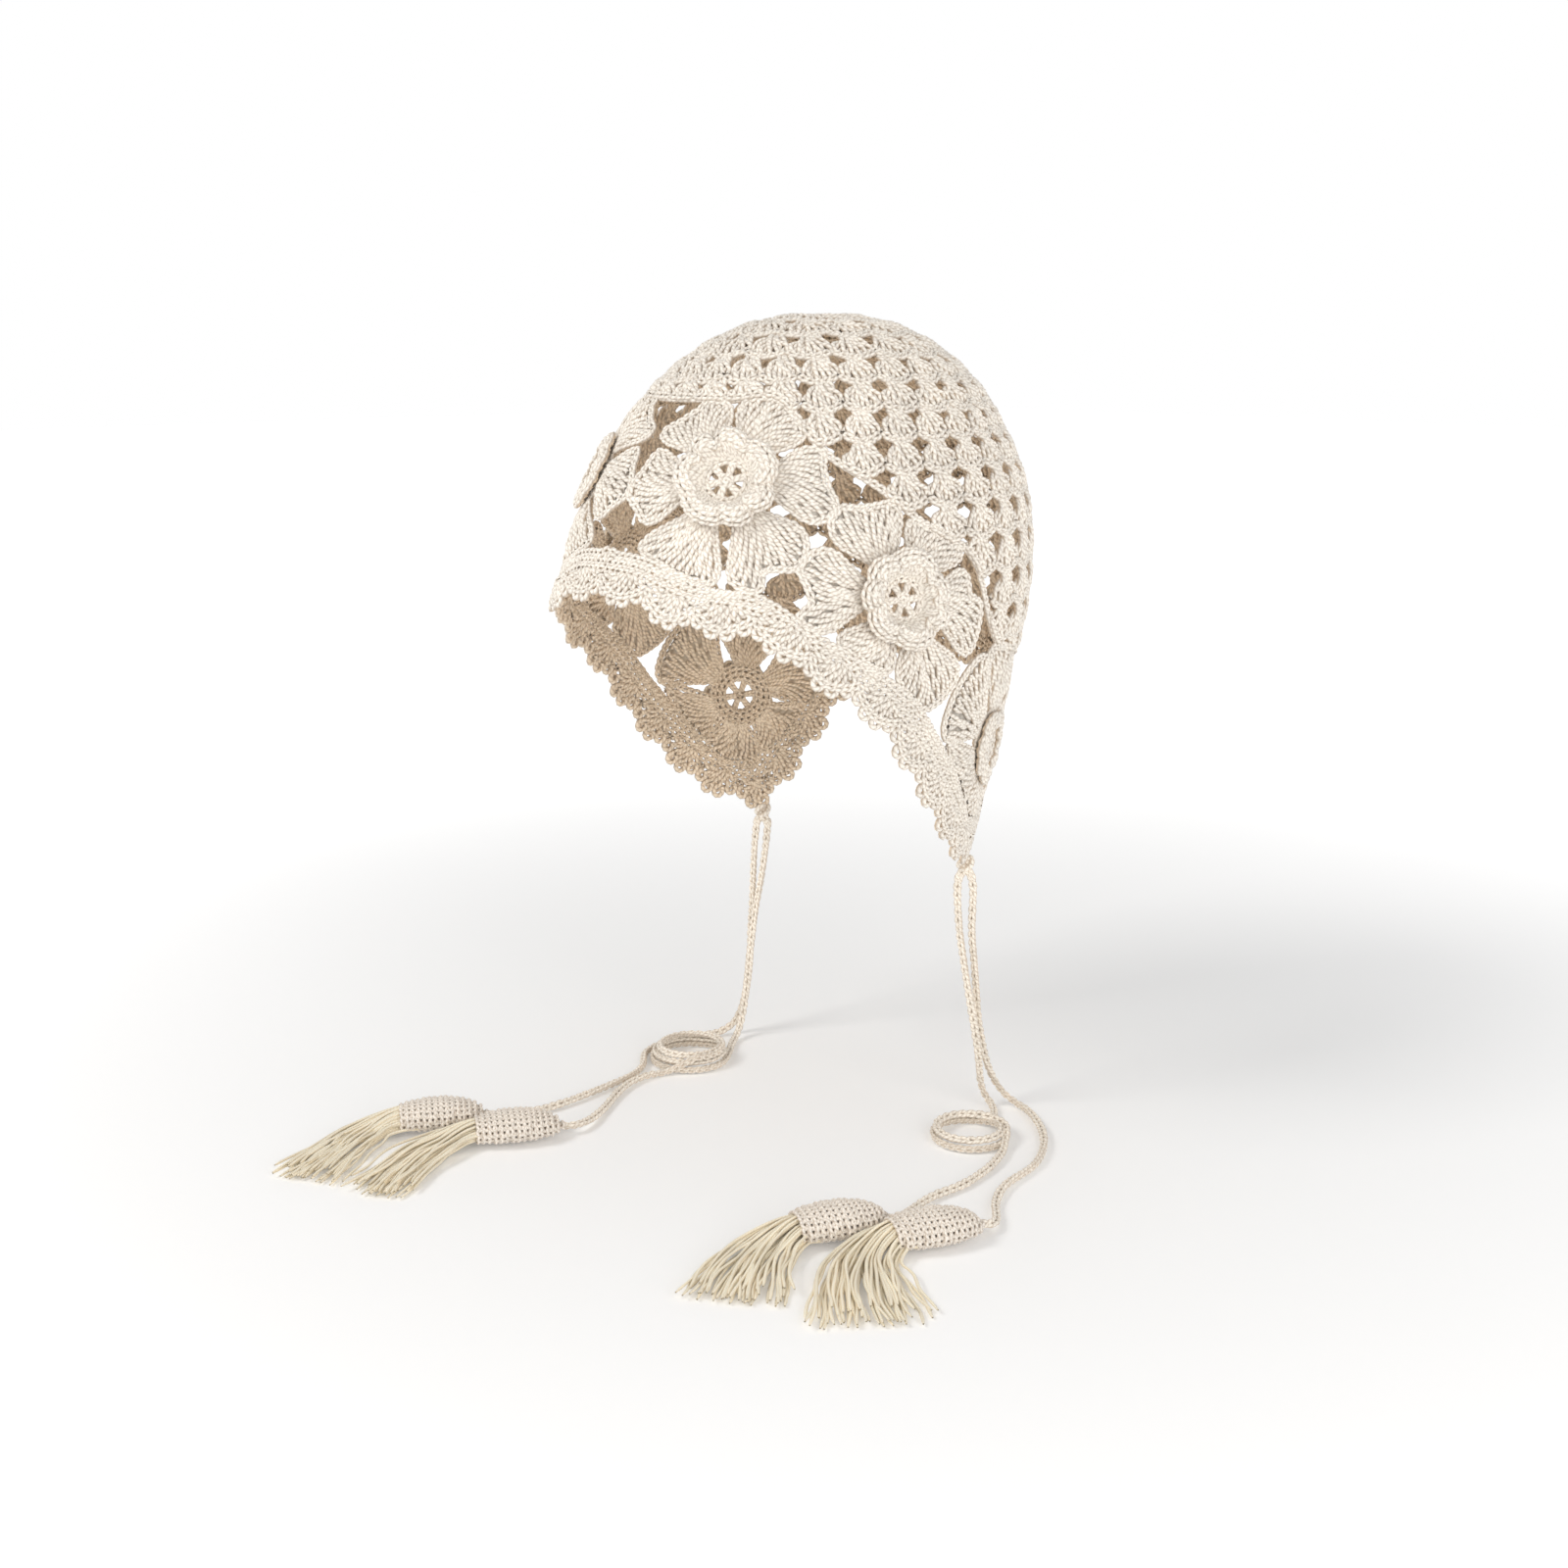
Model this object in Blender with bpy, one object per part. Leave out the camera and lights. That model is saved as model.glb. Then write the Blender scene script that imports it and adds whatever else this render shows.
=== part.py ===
"""Crocheted bonnet beanie with ear flaps, six flower motifs round the face, and tasselled ties.

The fabric lies on one smooth head-shaped surface.  A place on it is named by its turn from the
front (degrees, positive towards the wearer's left) and its reach (metres down the side from the
top of the crown).  +Z is up and the face looks along -Y.
"""
import math

import bpy
import numpy as np
from mathutils import Vector
from mathutils.geometry import delaunay_2d_cdt

for old in list(bpy.data.objects):
    bpy.data.objects.remove(old, do_unlink=True)

# Driving dimensions, in metres.
HALF_WIDTH = 0.0848       # middle of the fabric, at its widest
HALF_DEPTH = 0.1039       # the same, front to back
SIDE_LENGTH = 0.262       # down the side from the top of the crown to the flap's tip
DROP = 0.2145             # height of the same stretch
WALL = 0.003              # thickness of the crocheted fabric
PIECE_GAP = 0.0006        # between the crown and the edging
FLOWER_GAP = 0.0004       # between a petal and the crown
BAND_GAP = 0.0010         # between a petal and the edging
CONTACT_GAP = 0.0003      # between pieces that touch face to face
CROWN_TOP = WALL / 2      # middle of the fabric above the origin, which is inside the crown
FLOOR = -0.3217           # surface that the ties lie on

# Columns: reach share of SIDE_LENGTH, drop share of DROP, width share, forward shift as a share
# of HALF_DEPTH (negative is towards the face).
PROFILE = [
    (0.0000, 0.0000, 0.000, 0.038),
    (0.0534, 0.0056, 0.162, 0.038),
    (0.1069, 0.0219, 0.319, 0.036),
    (0.1603, 0.0531, 0.466, 0.033),
    (0.2137, 0.0937, 0.590, 0.026),
    (0.2672, 0.1422, 0.697, 0.016),
    (0.3206, 0.1991, 0.784, 0.005),
    (0.3740, 0.2569, 0.857, -0.008),
    (0.4275, 0.3175, 0.911, -0.020),
    (0.4809, 0.3814, 0.948, -0.042),
    (0.5344, 0.4462, 0.974, -0.072),
    (0.5878, 0.5110, 0.991, -0.111),
    (0.6412, 0.5762, 0.998, -0.156),
    (0.6947, 0.6415, 1.000, -0.207),
    (0.7481, 0.7068, 0.999, -0.252),
    (0.8015, 0.7706, 0.994, -0.284),
    (0.8550, 0.8345, 0.985, -0.311),
    (0.9084, 0.8974, 0.971, -0.328),
    (0.9618, 0.9580, 0.951, -0.338),
    (1.0000, 1.0000, 0.930, -0.343),
]

# Columns: turn from the front in degrees, reach share.  The left half; the right mirrors it.
RIM = [
    (0, 0.549), (11, 0.553), (26, 0.580), (42, 0.594), (50, 0.612), (57, 0.645), (67, 0.679),
    (80, 0.737), (90, 0.805), (102, 0.885), (112, 0.945), (121, 0.974), (130, 0.985),
    (136, 0.945), (142, 0.881), (148.6, 0.805), (154, 0.756), (162, 0.726), (172, 0.714),
    (180, 0.711),
]
BAND = [
    (0, 0.488), (15, 0.500), (30, 0.530), (45, 0.545), (55, 0.583), (67, 0.628), (80, 0.674),
    (90, 0.724), (100, 0.786), (110, 0.860), (118, 0.910), (125, 0.918), (132, 0.893),
    (138, 0.850), (143, 0.800), (147, 0.752), (151, 0.722), (156, 0.702), (165, 0.684),
    (180, 0.675),
]
ARCH = [
    (0, 0.267), (23, 0.267), (41, 0.270), (54, 0.344), (69, 0.401), (80, 0.452), (85, 0.468),
    (98, 0.525), (103, 0.582), (110, 0.632), (118, 0.650), (126, 0.660), (135, 0.672),
    (143, 0.687), (150, 0.720), (180, 0.720),
]

# Columns: name, turn in degrees, reach share, turn of the first petal in degrees.
FLOWERS = [
    ("brow_left", 30.3, 0.388, 2.0),
    ("temple_left", 75.6, 0.553, -10.0),
    ("flap_left", 121.0, 0.797, 18.0),
    ("brow_right", -30.3, 0.388, -2.0),
    ("temple_right", -75.6, 0.553, 10.0),
    ("flap_right", -121.0, 0.797, -18.0),
]
PETALS = 6
PETAL_REACH = 0.0355
PETAL_CORNER_REACH = 0.042
ROSETTE_RADIUS = 0.0122
ROSETTE_LOBE = 0.0024
ROSETTE_TUBE = 0.0023

HOLE_ROW_PITCH = 0.0258   # every second round of fans is cut through
HOLE_COLUMN_PITCH = 0.031
HOLE_HALF_WIDTH = 0.0050
HOLE_HALF_HEIGHT = 0.0046
FIRST_HOLE_RADIUS = 0.042
SCALLOP_PITCH = 0.022
SCALLOP_RISE = 0.0032

CORD = 0.0038
KNOT_RADIUS = 0.0041
CAP_LENGTH = 0.034
CAP_HALF_WIDTH = 0.0100
CAP_FLATNESS = 0.80
CAP_WALL = 0.0020

CREAM = (0.90, 0.85, 0.76)
FRINGE_CREAM = (0.86, 0.81, 0.66)
CAP_BEIGE = (0.80, 0.73, 0.65)


def material(name, colour, roughness):
    made = bpy.data.materials.new(name)
    made.use_nodes = True
    shader = made.node_tree.nodes["Principled BSDF"]
    shader.inputs["Base Color"].default_value = (*colour, 1.0)
    shader.inputs["Roughness"].default_value = roughness
    shader.inputs["Metallic"].default_value = 0.0
    return made


COTTON = material("cotton", CREAM, 0.9)
MERCERISED = material("fringe_cotton", FRINGE_CREAM, 0.8)
CAP_COTTON = material("cap_cotton", CAP_BEIGE, 0.92)


def smooth_table(rows, column):
    """A smooth reading of one column against the first, by cubic pieces."""
    xs = np.array([row[0] for row in rows], float)
    ys = np.array([row[column] for row in rows], float)
    slopes = np.gradient(ys, xs)

    def read(x):
        x = np.clip(x, xs[0], xs[-1])
        i = np.clip(np.searchsorted(xs, x) - 1, 0, len(xs) - 2)
        span = xs[i + 1] - xs[i]
        t = (x - xs[i]) / span
        return (
            (2 * t**3 - 3 * t**2 + 1) * ys[i]
            + (t**3 - 2 * t**2 + t) * span * slopes[i]
            + (3 * t**2 - 2 * t**3) * ys[i + 1]
            + (t**3 - t**2) * span * slopes[i + 1]
        )

    return read


drop_share = smooth_table(PROFILE, 1)
width_share = smooth_table(PROFILE, 2)
shift_share = smooth_table(PROFILE, 3)
rim_share = smooth_table(RIM, 1)
band_share = smooth_table(BAND, 1)
arch_share = smooth_table(ARCH, 1)


def rim_reach(turn):
    return SIDE_LENGTH * rim_share(abs(turn))


def band_reach(turn):
    return SIDE_LENGTH * band_share(abs(turn))


def crown_reach(turn):
    arch = SIDE_LENGTH * arch_share(abs(turn))
    return min(arch, band_reach(turn) - PIECE_GAP)


def on_fabric(turn, reach):
    """The point of the fabric's middle surface at a turn and a reach."""
    share = reach / SIDE_LENGTH
    angle = math.radians(turn)
    width = width_share(share)
    x = HALF_WIDTH * width * math.sin(angle)
    y = HALF_DEPTH * (shift_share(share) - width * math.cos(angle))
    z = CROWN_TOP - DROP * drop_share(share)
    return np.array([x, y, z])


def outward(turn, reach):
    """The fabric's outward normal."""
    if reach < 0.002:
        return np.array([0.0, 0.0, 1.0])
    across = on_fabric(turn + 0.5, reach) - on_fabric(turn - 0.5, reach)
    along = on_fabric(turn, reach + 0.0008) - on_fabric(turn, reach - 0.0008)
    normal = np.cross(along, across)
    return normal / np.linalg.norm(normal)


REACH_STEPS = np.linspace(0.0, SIDE_LENGTH, 400)
HEIGHT_STEPS = np.array([CROWN_TOP - DROP * drop_share(r / SIDE_LENGTH) for r in REACH_STEPS])


def place_of(point):
    """Turn and reach of a point near the fabric, read at its own height."""
    reach = float(np.interp(-point[2], -HEIGHT_STEPS, REACH_STEPS))
    share = reach / SIDE_LENGTH
    forward = -(point[1] - HALF_DEPTH * shift_share(share)) / HALF_DEPTH
    return math.degrees(math.atan2(point[0] / HALF_WIDTH, forward)), reach


def walk(turn, reach, heading, distance):
    """The place reached by going straight over the fabric; heading 0 is level, 90 is up."""
    point = on_fabric(turn, reach)
    normal = outward(turn, reach)
    level = on_fabric(turn + 0.5, reach) - on_fabric(turn - 0.5, reach)
    level /= np.linalg.norm(level)
    up = np.cross(normal, level)
    step = math.cos(heading) * level + math.sin(heading) * up
    count = max(1, math.ceil(distance / 0.003))
    for _ in range(count):
        turn, reach = place_of(point + step * distance / count)
        landed = on_fabric(turn, reach)
        step = landed - point
        normal = outward(turn, reach)
        step -= normal * (step @ normal)
        step /= np.linalg.norm(step)
        point = landed
    return turn, reach


def inside(point, loop):
    x, y = point
    crossed = False
    for (ax, ay), (bx, by) in zip(loop, loop[1:] + loop[:1]):
        if (ay > y) != (by > y) and x < ax + (y - ay) * (bx - ax) / (by - ay):
            crossed = not crossed
    return crossed


def triangulate(outline, holes, inner_points):
    """Triangles of a flat outline with holes, using the inner points as well."""
    loops = [outline] + holes
    points = []
    edges = []
    for loop in loops:
        start = len(points)
        points += loop
        edges += [(start + i, start + (i + 1) % len(loop)) for i in range(len(loop))]
    points += inner_points
    verts, _, faces, *_ = delaunay_2d_cdt([Vector(p) for p in points], edges, [], 0, 1e-7)
    flat = [(v.x, v.y) for v in verts]
    kept = []
    for face in faces:
        centre = (sum(flat[i][0] for i in face) / 3, sum(flat[i][1] for i in face) / 3)
        if inside(centre, outline) and not any(inside(centre, hole) for hole in holes):
            a, b, c = (flat[i] for i in face)
            area = (b[0] - a[0]) * (c[1] - a[1]) - (b[1] - a[1]) * (c[0] - a[0])
            kept.append(tuple(face) if area > 0 else tuple(reversed(face)))
    used = sorted({i for face in kept for i in face})
    order = {old: new for new, old in enumerate(used)}
    return [flat[i] for i in used], [tuple(order[i] for i in face) for face in kept]


def thick_panel(name, places, faces, look):
    """A panel of fabric: both skins and the wall round each free edge."""
    centres = [on_fabric(*place) for place in places]
    normals = [outward(*place) for place in places]
    first = centres[faces[0][0]]
    spin = np.cross(centres[faces[0][1]] - first, centres[faces[0][2]] - first)
    if spin @ normals[faces[0][0]] < 0:
        faces = [tuple(reversed(face)) for face in faces]
    count = len(places)
    verts = [c + n * WALL / 2 for c, n in zip(centres, normals)]
    verts += [c - n * WALL / 2 for c, n in zip(centres, normals)]
    body = list(faces) + [tuple(i + count for i in reversed(face)) for face in faces]
    directed = {(f[i], f[(i + 1) % 3]) for f in faces for i in range(3)}
    for a, b in sorted(directed):
        if (b, a) not in directed:
            body.append((b, a, a + count))
            body.append((b, a + count, b + count))
    return solid(name, verts, body, look)


def solid(name, verts, faces, look):
    mesh = bpy.data.meshes.new(name)
    mesh.from_pydata([tuple(v) for v in verts], [], faces)
    mesh.update()
    made = bpy.data.objects.new(name, mesh)
    made.data.materials.append(look)
    bpy.context.collection.objects.link(made)
    return made


def polar(turn, reach):
    angle = math.radians(turn)
    return (reach * math.sin(angle), -reach * math.cos(angle))


def unpolar(point):
    return math.degrees(math.atan2(point[0], -point[1])), math.hypot(*point)


def level_radius(turn, reach):
    """Metres of fabric passed per radian of turn."""
    step = on_fabric(turn + 0.5, reach) - on_fabric(turn - 0.5, reach)
    return np.linalg.norm(step) / math.radians(1.0)


def crown():
    outline = [polar(turn, crown_reach(turn)) for turn in np.arange(-180.0, 180.0, 5.0)]
    holes = []
    inner_points = [(0.0, 0.0)]
    reach = FIRST_HOLE_RADIUS
    while reach < SIDE_LENGTH:
        radius = level_radius(90.0, reach)
        columns = max(6, round(2 * math.pi * radius * 1.1 / HOLE_COLUMN_PITCH))
        for column in range(columns):
            turn = (column + 0.5) * 360.0 / columns - 180.0
            limit = crown_reach(turn)
            across = math.degrees(HOLE_HALF_WIDTH / level_radius(turn, reach))
            room = min(crown_reach(turn - across), crown_reach(turn + across), limit)
            if reach + HOLE_HALF_HEIGHT + WALL < room:
                holes.append([
                    polar(turn + across * c, reach + HOLE_HALF_HEIGHT * s)
                    for c, s in ((1, 0.15), (0.2, 1), (-0.2, 1), (-1, 0.15), (-0.15, -1), (0.15, -1))
                ])
            between = (column + 1.0) * 360.0 / columns - 180.0
            if reach + 0.008 < crown_reach(between):
                inner_points.append(polar(between, reach))
            middle = reach + HOLE_ROW_PITCH / 2
            if middle + 0.006 < crown_reach(turn):
                inner_points.append(polar(turn, middle))
        reach += HOLE_ROW_PITCH
    inner_points += [polar(turn, FIRST_HOLE_RADIUS / 2) for turn in range(0, 360, 60)]
    flat, faces = triangulate(outline, holes, inner_points)
    return thick_panel("crown", [unpolar(p) for p in flat], faces, COTTON)


def rim_chain(spacing):
    """Turns round the whole rim, evenly spaced along it."""
    turns = np.linspace(-180.0, 180.0, 1441)
    points = np.array([on_fabric(t, rim_reach(t)) for t in turns])
    gone = np.concatenate([[0.0], np.cumsum(np.linalg.norm(np.diff(points, axis=0), axis=1))])
    count = round(gone[-1] / spacing)
    return [float(np.interp(gone[-1] * i / count, gone, turns)) for i in range(count)]


def edging():
    """The shell edging: a band round the rim, and the solid tips of the flaps."""
    per_shell = 5
    outer = []
    for i, turn in enumerate(rim_chain(SCALLOP_PITCH / per_shell)):
        phase = (i % per_shell) / per_shell
        rise = SCALLOP_RISE * (abs(math.sin(math.pi * phase)) - 1.0)
        before = on_fabric(turn - 0.3, rim_reach(turn - 0.3))
        after = on_fabric(turn + 0.3, rim_reach(turn + 0.3))
        run = (after - before) / np.linalg.norm(after - before)
        away = np.cross(outward(turn, rim_reach(turn)), run)
        if away[2] > 0:
            away = -away
        outer.append(polar(*place_of(on_fabric(turn, rim_reach(turn)) + away * rise)))
    inner = [polar(turn, band_reach(turn)) for turn in np.arange(-180.0, 180.0, 5.0)]
    flap_points = []
    for side in (-1, 1):
        for turn, share in ((120, 0.945), (127, 0.952), (133, 0.925)):
            flap_points.append(polar(side * turn, SIDE_LENGTH * share))
    flat, faces = triangulate(outer, [inner], flap_points)
    return thick_panel("edging", [unpolar(p) for p in flat], faces, COTTON)


FLOWER_PLACES = {name: (turn, share * SIDE_LENGTH) for name, turn, share, _ in FLOWERS}
FLOWER_CENTRES = {name: on_fabric(*place) for name, place in FLOWER_PLACES.items()}


def petal_limit(name, heading, wanted):
    """The longest reach of a petal on this heading that keeps clear of its neighbours."""
    centre = FLOWER_CENTRES[name]
    others = [c for other, c in FLOWER_CENTRES.items() if other != name]
    distance = wanted
    while distance > PETAL_REACH / 3:
        turn, reach = walk(*FLOWER_PLACES[name], heading, distance)
        point = on_fabric(turn, reach)
        own = np.linalg.norm(point - centre)
        clear = all(np.linalg.norm(point - c) > own + CONTACT_GAP for c in others)
        if clear and crown_reach(turn) + FLOWER_GAP < reach < band_reach(turn) - BAND_GAP:
            return distance
        distance -= 0.0002
    return distance


def faces_neighbour(name, heading):
    """Whether a heading from a flower points at the next flower of the arch."""
    turn, reach = walk(*FLOWER_PLACES[name], heading, PETAL_CORNER_REACH)
    point = on_fabric(turn, reach)
    others = [c for other, c in FLOWER_CENTRES.items() if other != name]
    return min(np.linalg.norm(point - c) for c in others) < PETAL_CORNER_REACH * 1.35


def flower(name, first_petal):
    """Six crocheted petals round a pierced heart, with a slit at the foot of each gap."""
    outline = []
    slits = []
    inner_points = []
    shape = ((-30, 0.62), (-21, 0.95), (-8, 1.0), (8, 1.0), (21, 0.95))
    for petal in range(PETALS):
        middle = math.radians(first_petal + 360.0 * petal / PETALS)
        for swing, share in shape:
            heading = middle + math.radians(swing)
            reach = PETAL_CORNER_REACH if faces_neighbour(name, heading) else PETAL_REACH
            distance = petal_limit(name, heading, reach * share)
            outline.append((distance * math.cos(heading), distance * math.sin(heading)))
        gap = middle + math.radians(30.0)
        slits.append([
            (d * math.cos(gap + s), d * math.sin(gap + s))
            for d, s in ((0.0140, 0.0), (0.0167, 0.13), (0.0194, 0.0), (0.0167, -0.13))
        ])
        inner_points.append((0.024 * math.cos(middle), 0.024 * math.sin(middle)))
        inner_points.append((0.0105 * math.cos(middle), 0.0105 * math.sin(middle)))
    heart = [
        (0.0032 * math.cos(math.radians(60 * i)), 0.0032 * math.sin(math.radians(60 * i)))
        for i in range(6)
    ]
    flat, faces = triangulate(outline, slits + [heart], inner_points)
    centre = FLOWER_PLACES[name]
    places = [walk(*centre, math.atan2(y, x), math.hypot(x, y)) for x, y in flat]
    return thick_panel("flower_" + name, places, faces, COTTON)


def rosette(name, first_petal):
    """The raised ruffle that stands on a flower: a lobed ring."""
    rings = 4 * PETALS
    sides = 5
    lift = WALL / 2 + CONTACT_GAP + ROSETTE_TUBE
    verts = []
    for i in range(rings):
        heading = math.radians(first_petal) + 2 * math.pi * i / rings
        ripple = ROSETTE_LOBE * math.cos(PETALS * 2 * math.pi * i / rings)
        for side in range(sides):
            around = 2 * math.pi * side / sides + math.pi / 2
            distance = ROSETTE_RADIUS + ripple + ROSETTE_TUBE * math.cos(around)
            place = walk(*FLOWER_PLACES[name], heading, distance)
            height = lift + ROSETTE_TUBE * math.sin(around)
            verts.append(on_fabric(*place) + outward(*place) * height)
    faces = []
    for i in range(rings):
        for side in range(sides):
            a = i * sides + side
            b = i * sides + (side + 1) % sides
            c = (i + 1) % rings * sides + (side + 1) % sides
            d = (i + 1) % rings * sides + side
            faces.append((a, d, c, b))
    return solid("rosette_" + name, verts, faces, COTTON)


def smooth_route(points, spacing):
    """Evenly spaced points on a smooth curve through a short list."""
    knots = np.array(points, float)
    padded = np.vstack([2 * knots[0] - knots[1], knots, 2 * knots[-1] - knots[-2]])
    dense = []
    for i in range(len(knots) - 1):
        p0, p1, p2, p3 = padded[i:i + 4]
        for t in np.linspace(0.0, 1.0, 24, endpoint=False):
            dense.append(0.5 * (
                2 * p1 + (p2 - p0) * t + (2 * p0 - 5 * p1 + 4 * p2 - p3) * t**2
                + (3 * p1 - p0 - 3 * p2 + p3) * t**3
            ))
    dense.append(knots[-1])
    dense = np.array(dense)
    gone = np.concatenate([[0.0], np.cumsum(np.linalg.norm(np.diff(dense, axis=0), axis=1))])
    count = max(2, round(gone[-1] / spacing))
    marks = np.linspace(0.0, gone[-1], count + 1)
    return np.stack([np.interp(marks, gone, dense[:, k]) for k in range(3)], axis=1)


def cord(name, points):
    line = bpy.data.curves.new(name, "CURVE")
    line.dimensions = "3D"
    line.bevel_depth = CORD / 2
    line.bevel_resolution = 2
    line.use_fill_caps = True
    spline = line.splines.new("POLY")
    route = smooth_route(points, 2.4 * CORD)
    spline.points.add(len(route) - 1)
    for spot, point in zip(spline.points, route):
        spot.co = (*point, 1.0)
    line.materials.append(COTTON)
    made = bpy.data.objects.new(name, line)
    bpy.context.collection.objects.link(made)
    return made


def knot(name, centre):
    rings = 5
    sides = 8
    verts = [centre + np.array([0, 0, KNOT_RADIUS])]
    for ring in range(1, rings):
        polar_angle = math.pi * ring / rings
        for side in range(sides):
            around = 2 * math.pi * side / sides
            verts.append(centre + KNOT_RADIUS * np.array([
                math.sin(polar_angle) * math.cos(around),
                math.sin(polar_angle) * math.sin(around),
                math.cos(polar_angle),
            ]))
    verts.append(centre - np.array([0, 0, KNOT_RADIUS]))
    return solid(name, verts, pole_faces(rings - 1, sides), COTTON)


def pole_faces(rings, sides):
    """Faces of a closed body: a first pole, rings of points, and a last pole."""
    faces = [(0, 1 + s, 1 + (s + 1) % sides) for s in range(sides)]
    for ring in range(rings - 1):
        for s in range(sides):
            a = 1 + ring * sides + s
            b = 1 + ring * sides + (s + 1) % sides
            faces.append((a, a + sides, b + sides, b))
    last = 1 + rings * sides
    start = last - sides
    faces += [(start + s, last, start + (s + 1) % sides) for s in range(sides)]
    return faces


def coil(name, centre, radius, turns):
    """The outer shape of a short coil: a turned ring with rounded shoulders."""
    half = CORD / 2
    height = CORD * turns
    section = [
        (-half, half * 0.6), (-half * 0.4, 0.0), (half * 0.4, 0.0), (half, half * 0.6),
        (half, height - half * 0.6), (half * 0.4, height), (-half * 0.4, height),
        (-half, height - half * 0.6),
    ]
    steps = 18
    verts = []
    for i in range(steps):
        angle = 2 * math.pi * i / steps
        for out, up in section:
            verts.append((
                centre[0] + (radius + out) * math.cos(angle),
                centre[1] + (radius + out) * math.sin(angle),
                FLOOR + up,
            ))
    faces = []
    sides = len(section)
    for i in range(steps):
        for s in range(sides):
            a = i * sides + s
            b = i * sides + (s + 1) % sides
            c = (i + 1) % steps * sides + (s + 1) % sides
            d = (i + 1) % steps * sides + s
            faces.append((a, d, c, b))
    return solid(name, verts, faces, COTTON)


# Columns: share of the cap's length from the cord, share of its half width.
CAP_PROFILE = [(0.03, 0.30), (0.18, 0.62), (0.42, 0.86), (0.72, 0.98), (1.0, 1.0)]


def cap(name, top, mouth):
    """A bell of close crochet lying on its side: outer skin, mouth, and hollow."""
    sides = 10
    axis = np.array([mouth[0] - top[0], mouth[1] - top[1], 0.0])
    axis /= np.linalg.norm(axis)
    side_way = np.array([-axis[1], axis[0], 0.0])
    start = np.array([top[0], top[1], 0.0])
    rows = [(share, wide, 0.0) for share, wide in CAP_PROFILE]
    rows += [(share, wide, CAP_WALL) for share, wide in reversed(CAP_PROFILE[1:])]
    middle = FLOOR + CAP_HALF_WIDTH * CAP_FLATNESS
    verts = []
    for share, wide, wall in rows:
        half = CAP_HALF_WIDTH * wide
        for s in range(sides):
            around = 2 * math.pi * s / sides
            low = FLOOR + half * CAP_FLATNESS
            across = (half - wall) * math.cos(around)
            up = (half * CAP_FLATNESS - wall) * math.sin(around)
            lift = low * 0.6 + middle * 0.4 if wide < 0.9 else low
            place = start + axis * CAP_LENGTH * share + side_way * across
            place[2] = lift + up
            verts.append(place)
    first = start.copy()
    first[2] = np.mean([v[2] for v in verts[:sides]])
    last = start + axis * (CAP_LENGTH * 0.12)
    last[2] = np.mean([v[2] for v in verts[-sides:]])
    body = [first] + verts + [last]
    return solid(name, body, pole_faces(len(rows), sides), CAP_COTTON)


def fringe(name, top, mouth, spine, spread):
    """A flat lock-ridged fringe: its head sits in the cap and its tails lie on the floor."""
    columns = 9
    axis = np.array([mouth[0] - top[0], mouth[1] - top[1]])
    axis /= np.linalg.norm(axis)
    head = np.array(mouth) - axis * CAP_LENGTH * 0.30
    route = smooth_route([(*head, 0.0), (*mouth, 0.0)] + [(*p, 0.0) for p in spine], 0.0105)
    count = len(route)
    gone = np.concatenate([[0.0], np.cumsum(np.linalg.norm(np.diff(route, axis=0), axis=1))])
    neck = CAP_LENGTH * 0.30
    upper = []
    lower = []
    for i, point in enumerate(route):
        before = route[max(i - 1, 0)]
        after = route[min(i + 1, count - 1)]
        run = (after - before) / np.linalg.norm(after - before)
        side_way = np.array([-run[1], run[0], 0.0])
        past = max(0.0, (gone[i] - neck) / (gone[-1] - neck))
        half = (CAP_HALF_WIDTH - CAP_WALL) * 0.62 + spread * past
        thick = 0.0066 - 0.0038 * past
        held = min(1.0, max(0.0, 1.0 - (gone[i] - neck - 0.007) / 0.012))
        base = FLOOR + 0.0002 + (CAP_WALL + 0.0014) * held
        for c in range(columns):
            across = -1.0 + 2.0 * c / (columns - 1)
            ridge = 0.0007 if c % 2 else -0.0004
            reach = 0.006 * (1 if c % 2 else -1) if i == count - 1 else 0.0
            place = point + side_way * half * across + run * reach
            edge = 1.0 - 0.55 * across * across
            lift = 0.0012 * across * across * held
            upper.append((place[0], place[1], base + thick * edge + ridge))
            lower.append((place[0], place[1], base + lift))
    verts = upper + lower
    size = count * columns
    faces = []
    for i in range(count - 1):
        for c in range(columns - 1):
            a = i * columns + c
            faces.append((a, a + columns, a + columns + 1, a + 1))
            faces.append((a + size, a + 1 + size, a + columns + 1 + size, a + columns + size))
    ring = [c for c in range(columns)]
    ring += [i * columns + columns - 1 for i in range(1, count)]
    ring += [(count - 1) * columns + c for c in range(columns - 2, -1, -1)]
    ring += [i * columns for i in range(count - 2, 0, -1)]
    for a, b in zip(ring, ring[1:] + ring[:1]):
        faces.append((a, b, b + size, a + size))
    return solid(name, verts, faces, MERCERISED)


def close_up(made):
    """Turn every face outwards."""
    mesh = made.data
    total = 0.0
    for face in mesh.polygons:
        corners = [mesh.vertices[i].co for i in face.vertices]
        for i in range(1, len(corners) - 1):
            total += corners[0].dot(corners[i].cross(corners[i + 1]))
    if total < 0:
        mesh.flip_normals()


crown()
edging()
for flower_name, _, _, petal_turn in FLOWERS:
    flower(flower_name, petal_turn)
    rosette(flower_name, petal_turn)

# The ties.  Each route is in millimetres; LIE is the middle of a cord that lies on the floor.
LIE = FLOOR * 1000 + CORD * 500 + 0.1
KNOT_LEFT = np.array([0.0611, 0.0270, -0.2142])
KNOT_RIGHT = KNOT_LEFT * np.array([-1, 1, 1])
COIL_LEFT = (0.0830, 0.0090)
COIL_LEFT_RADIUS = 0.0146
COIL_LEFT_TURNS = 2
COIL_RIGHT = (-0.0595, -0.0185)
COIL_RIGHT_RADIUS = 0.0165
COIL_RIGHT_TURNS = 3

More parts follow.
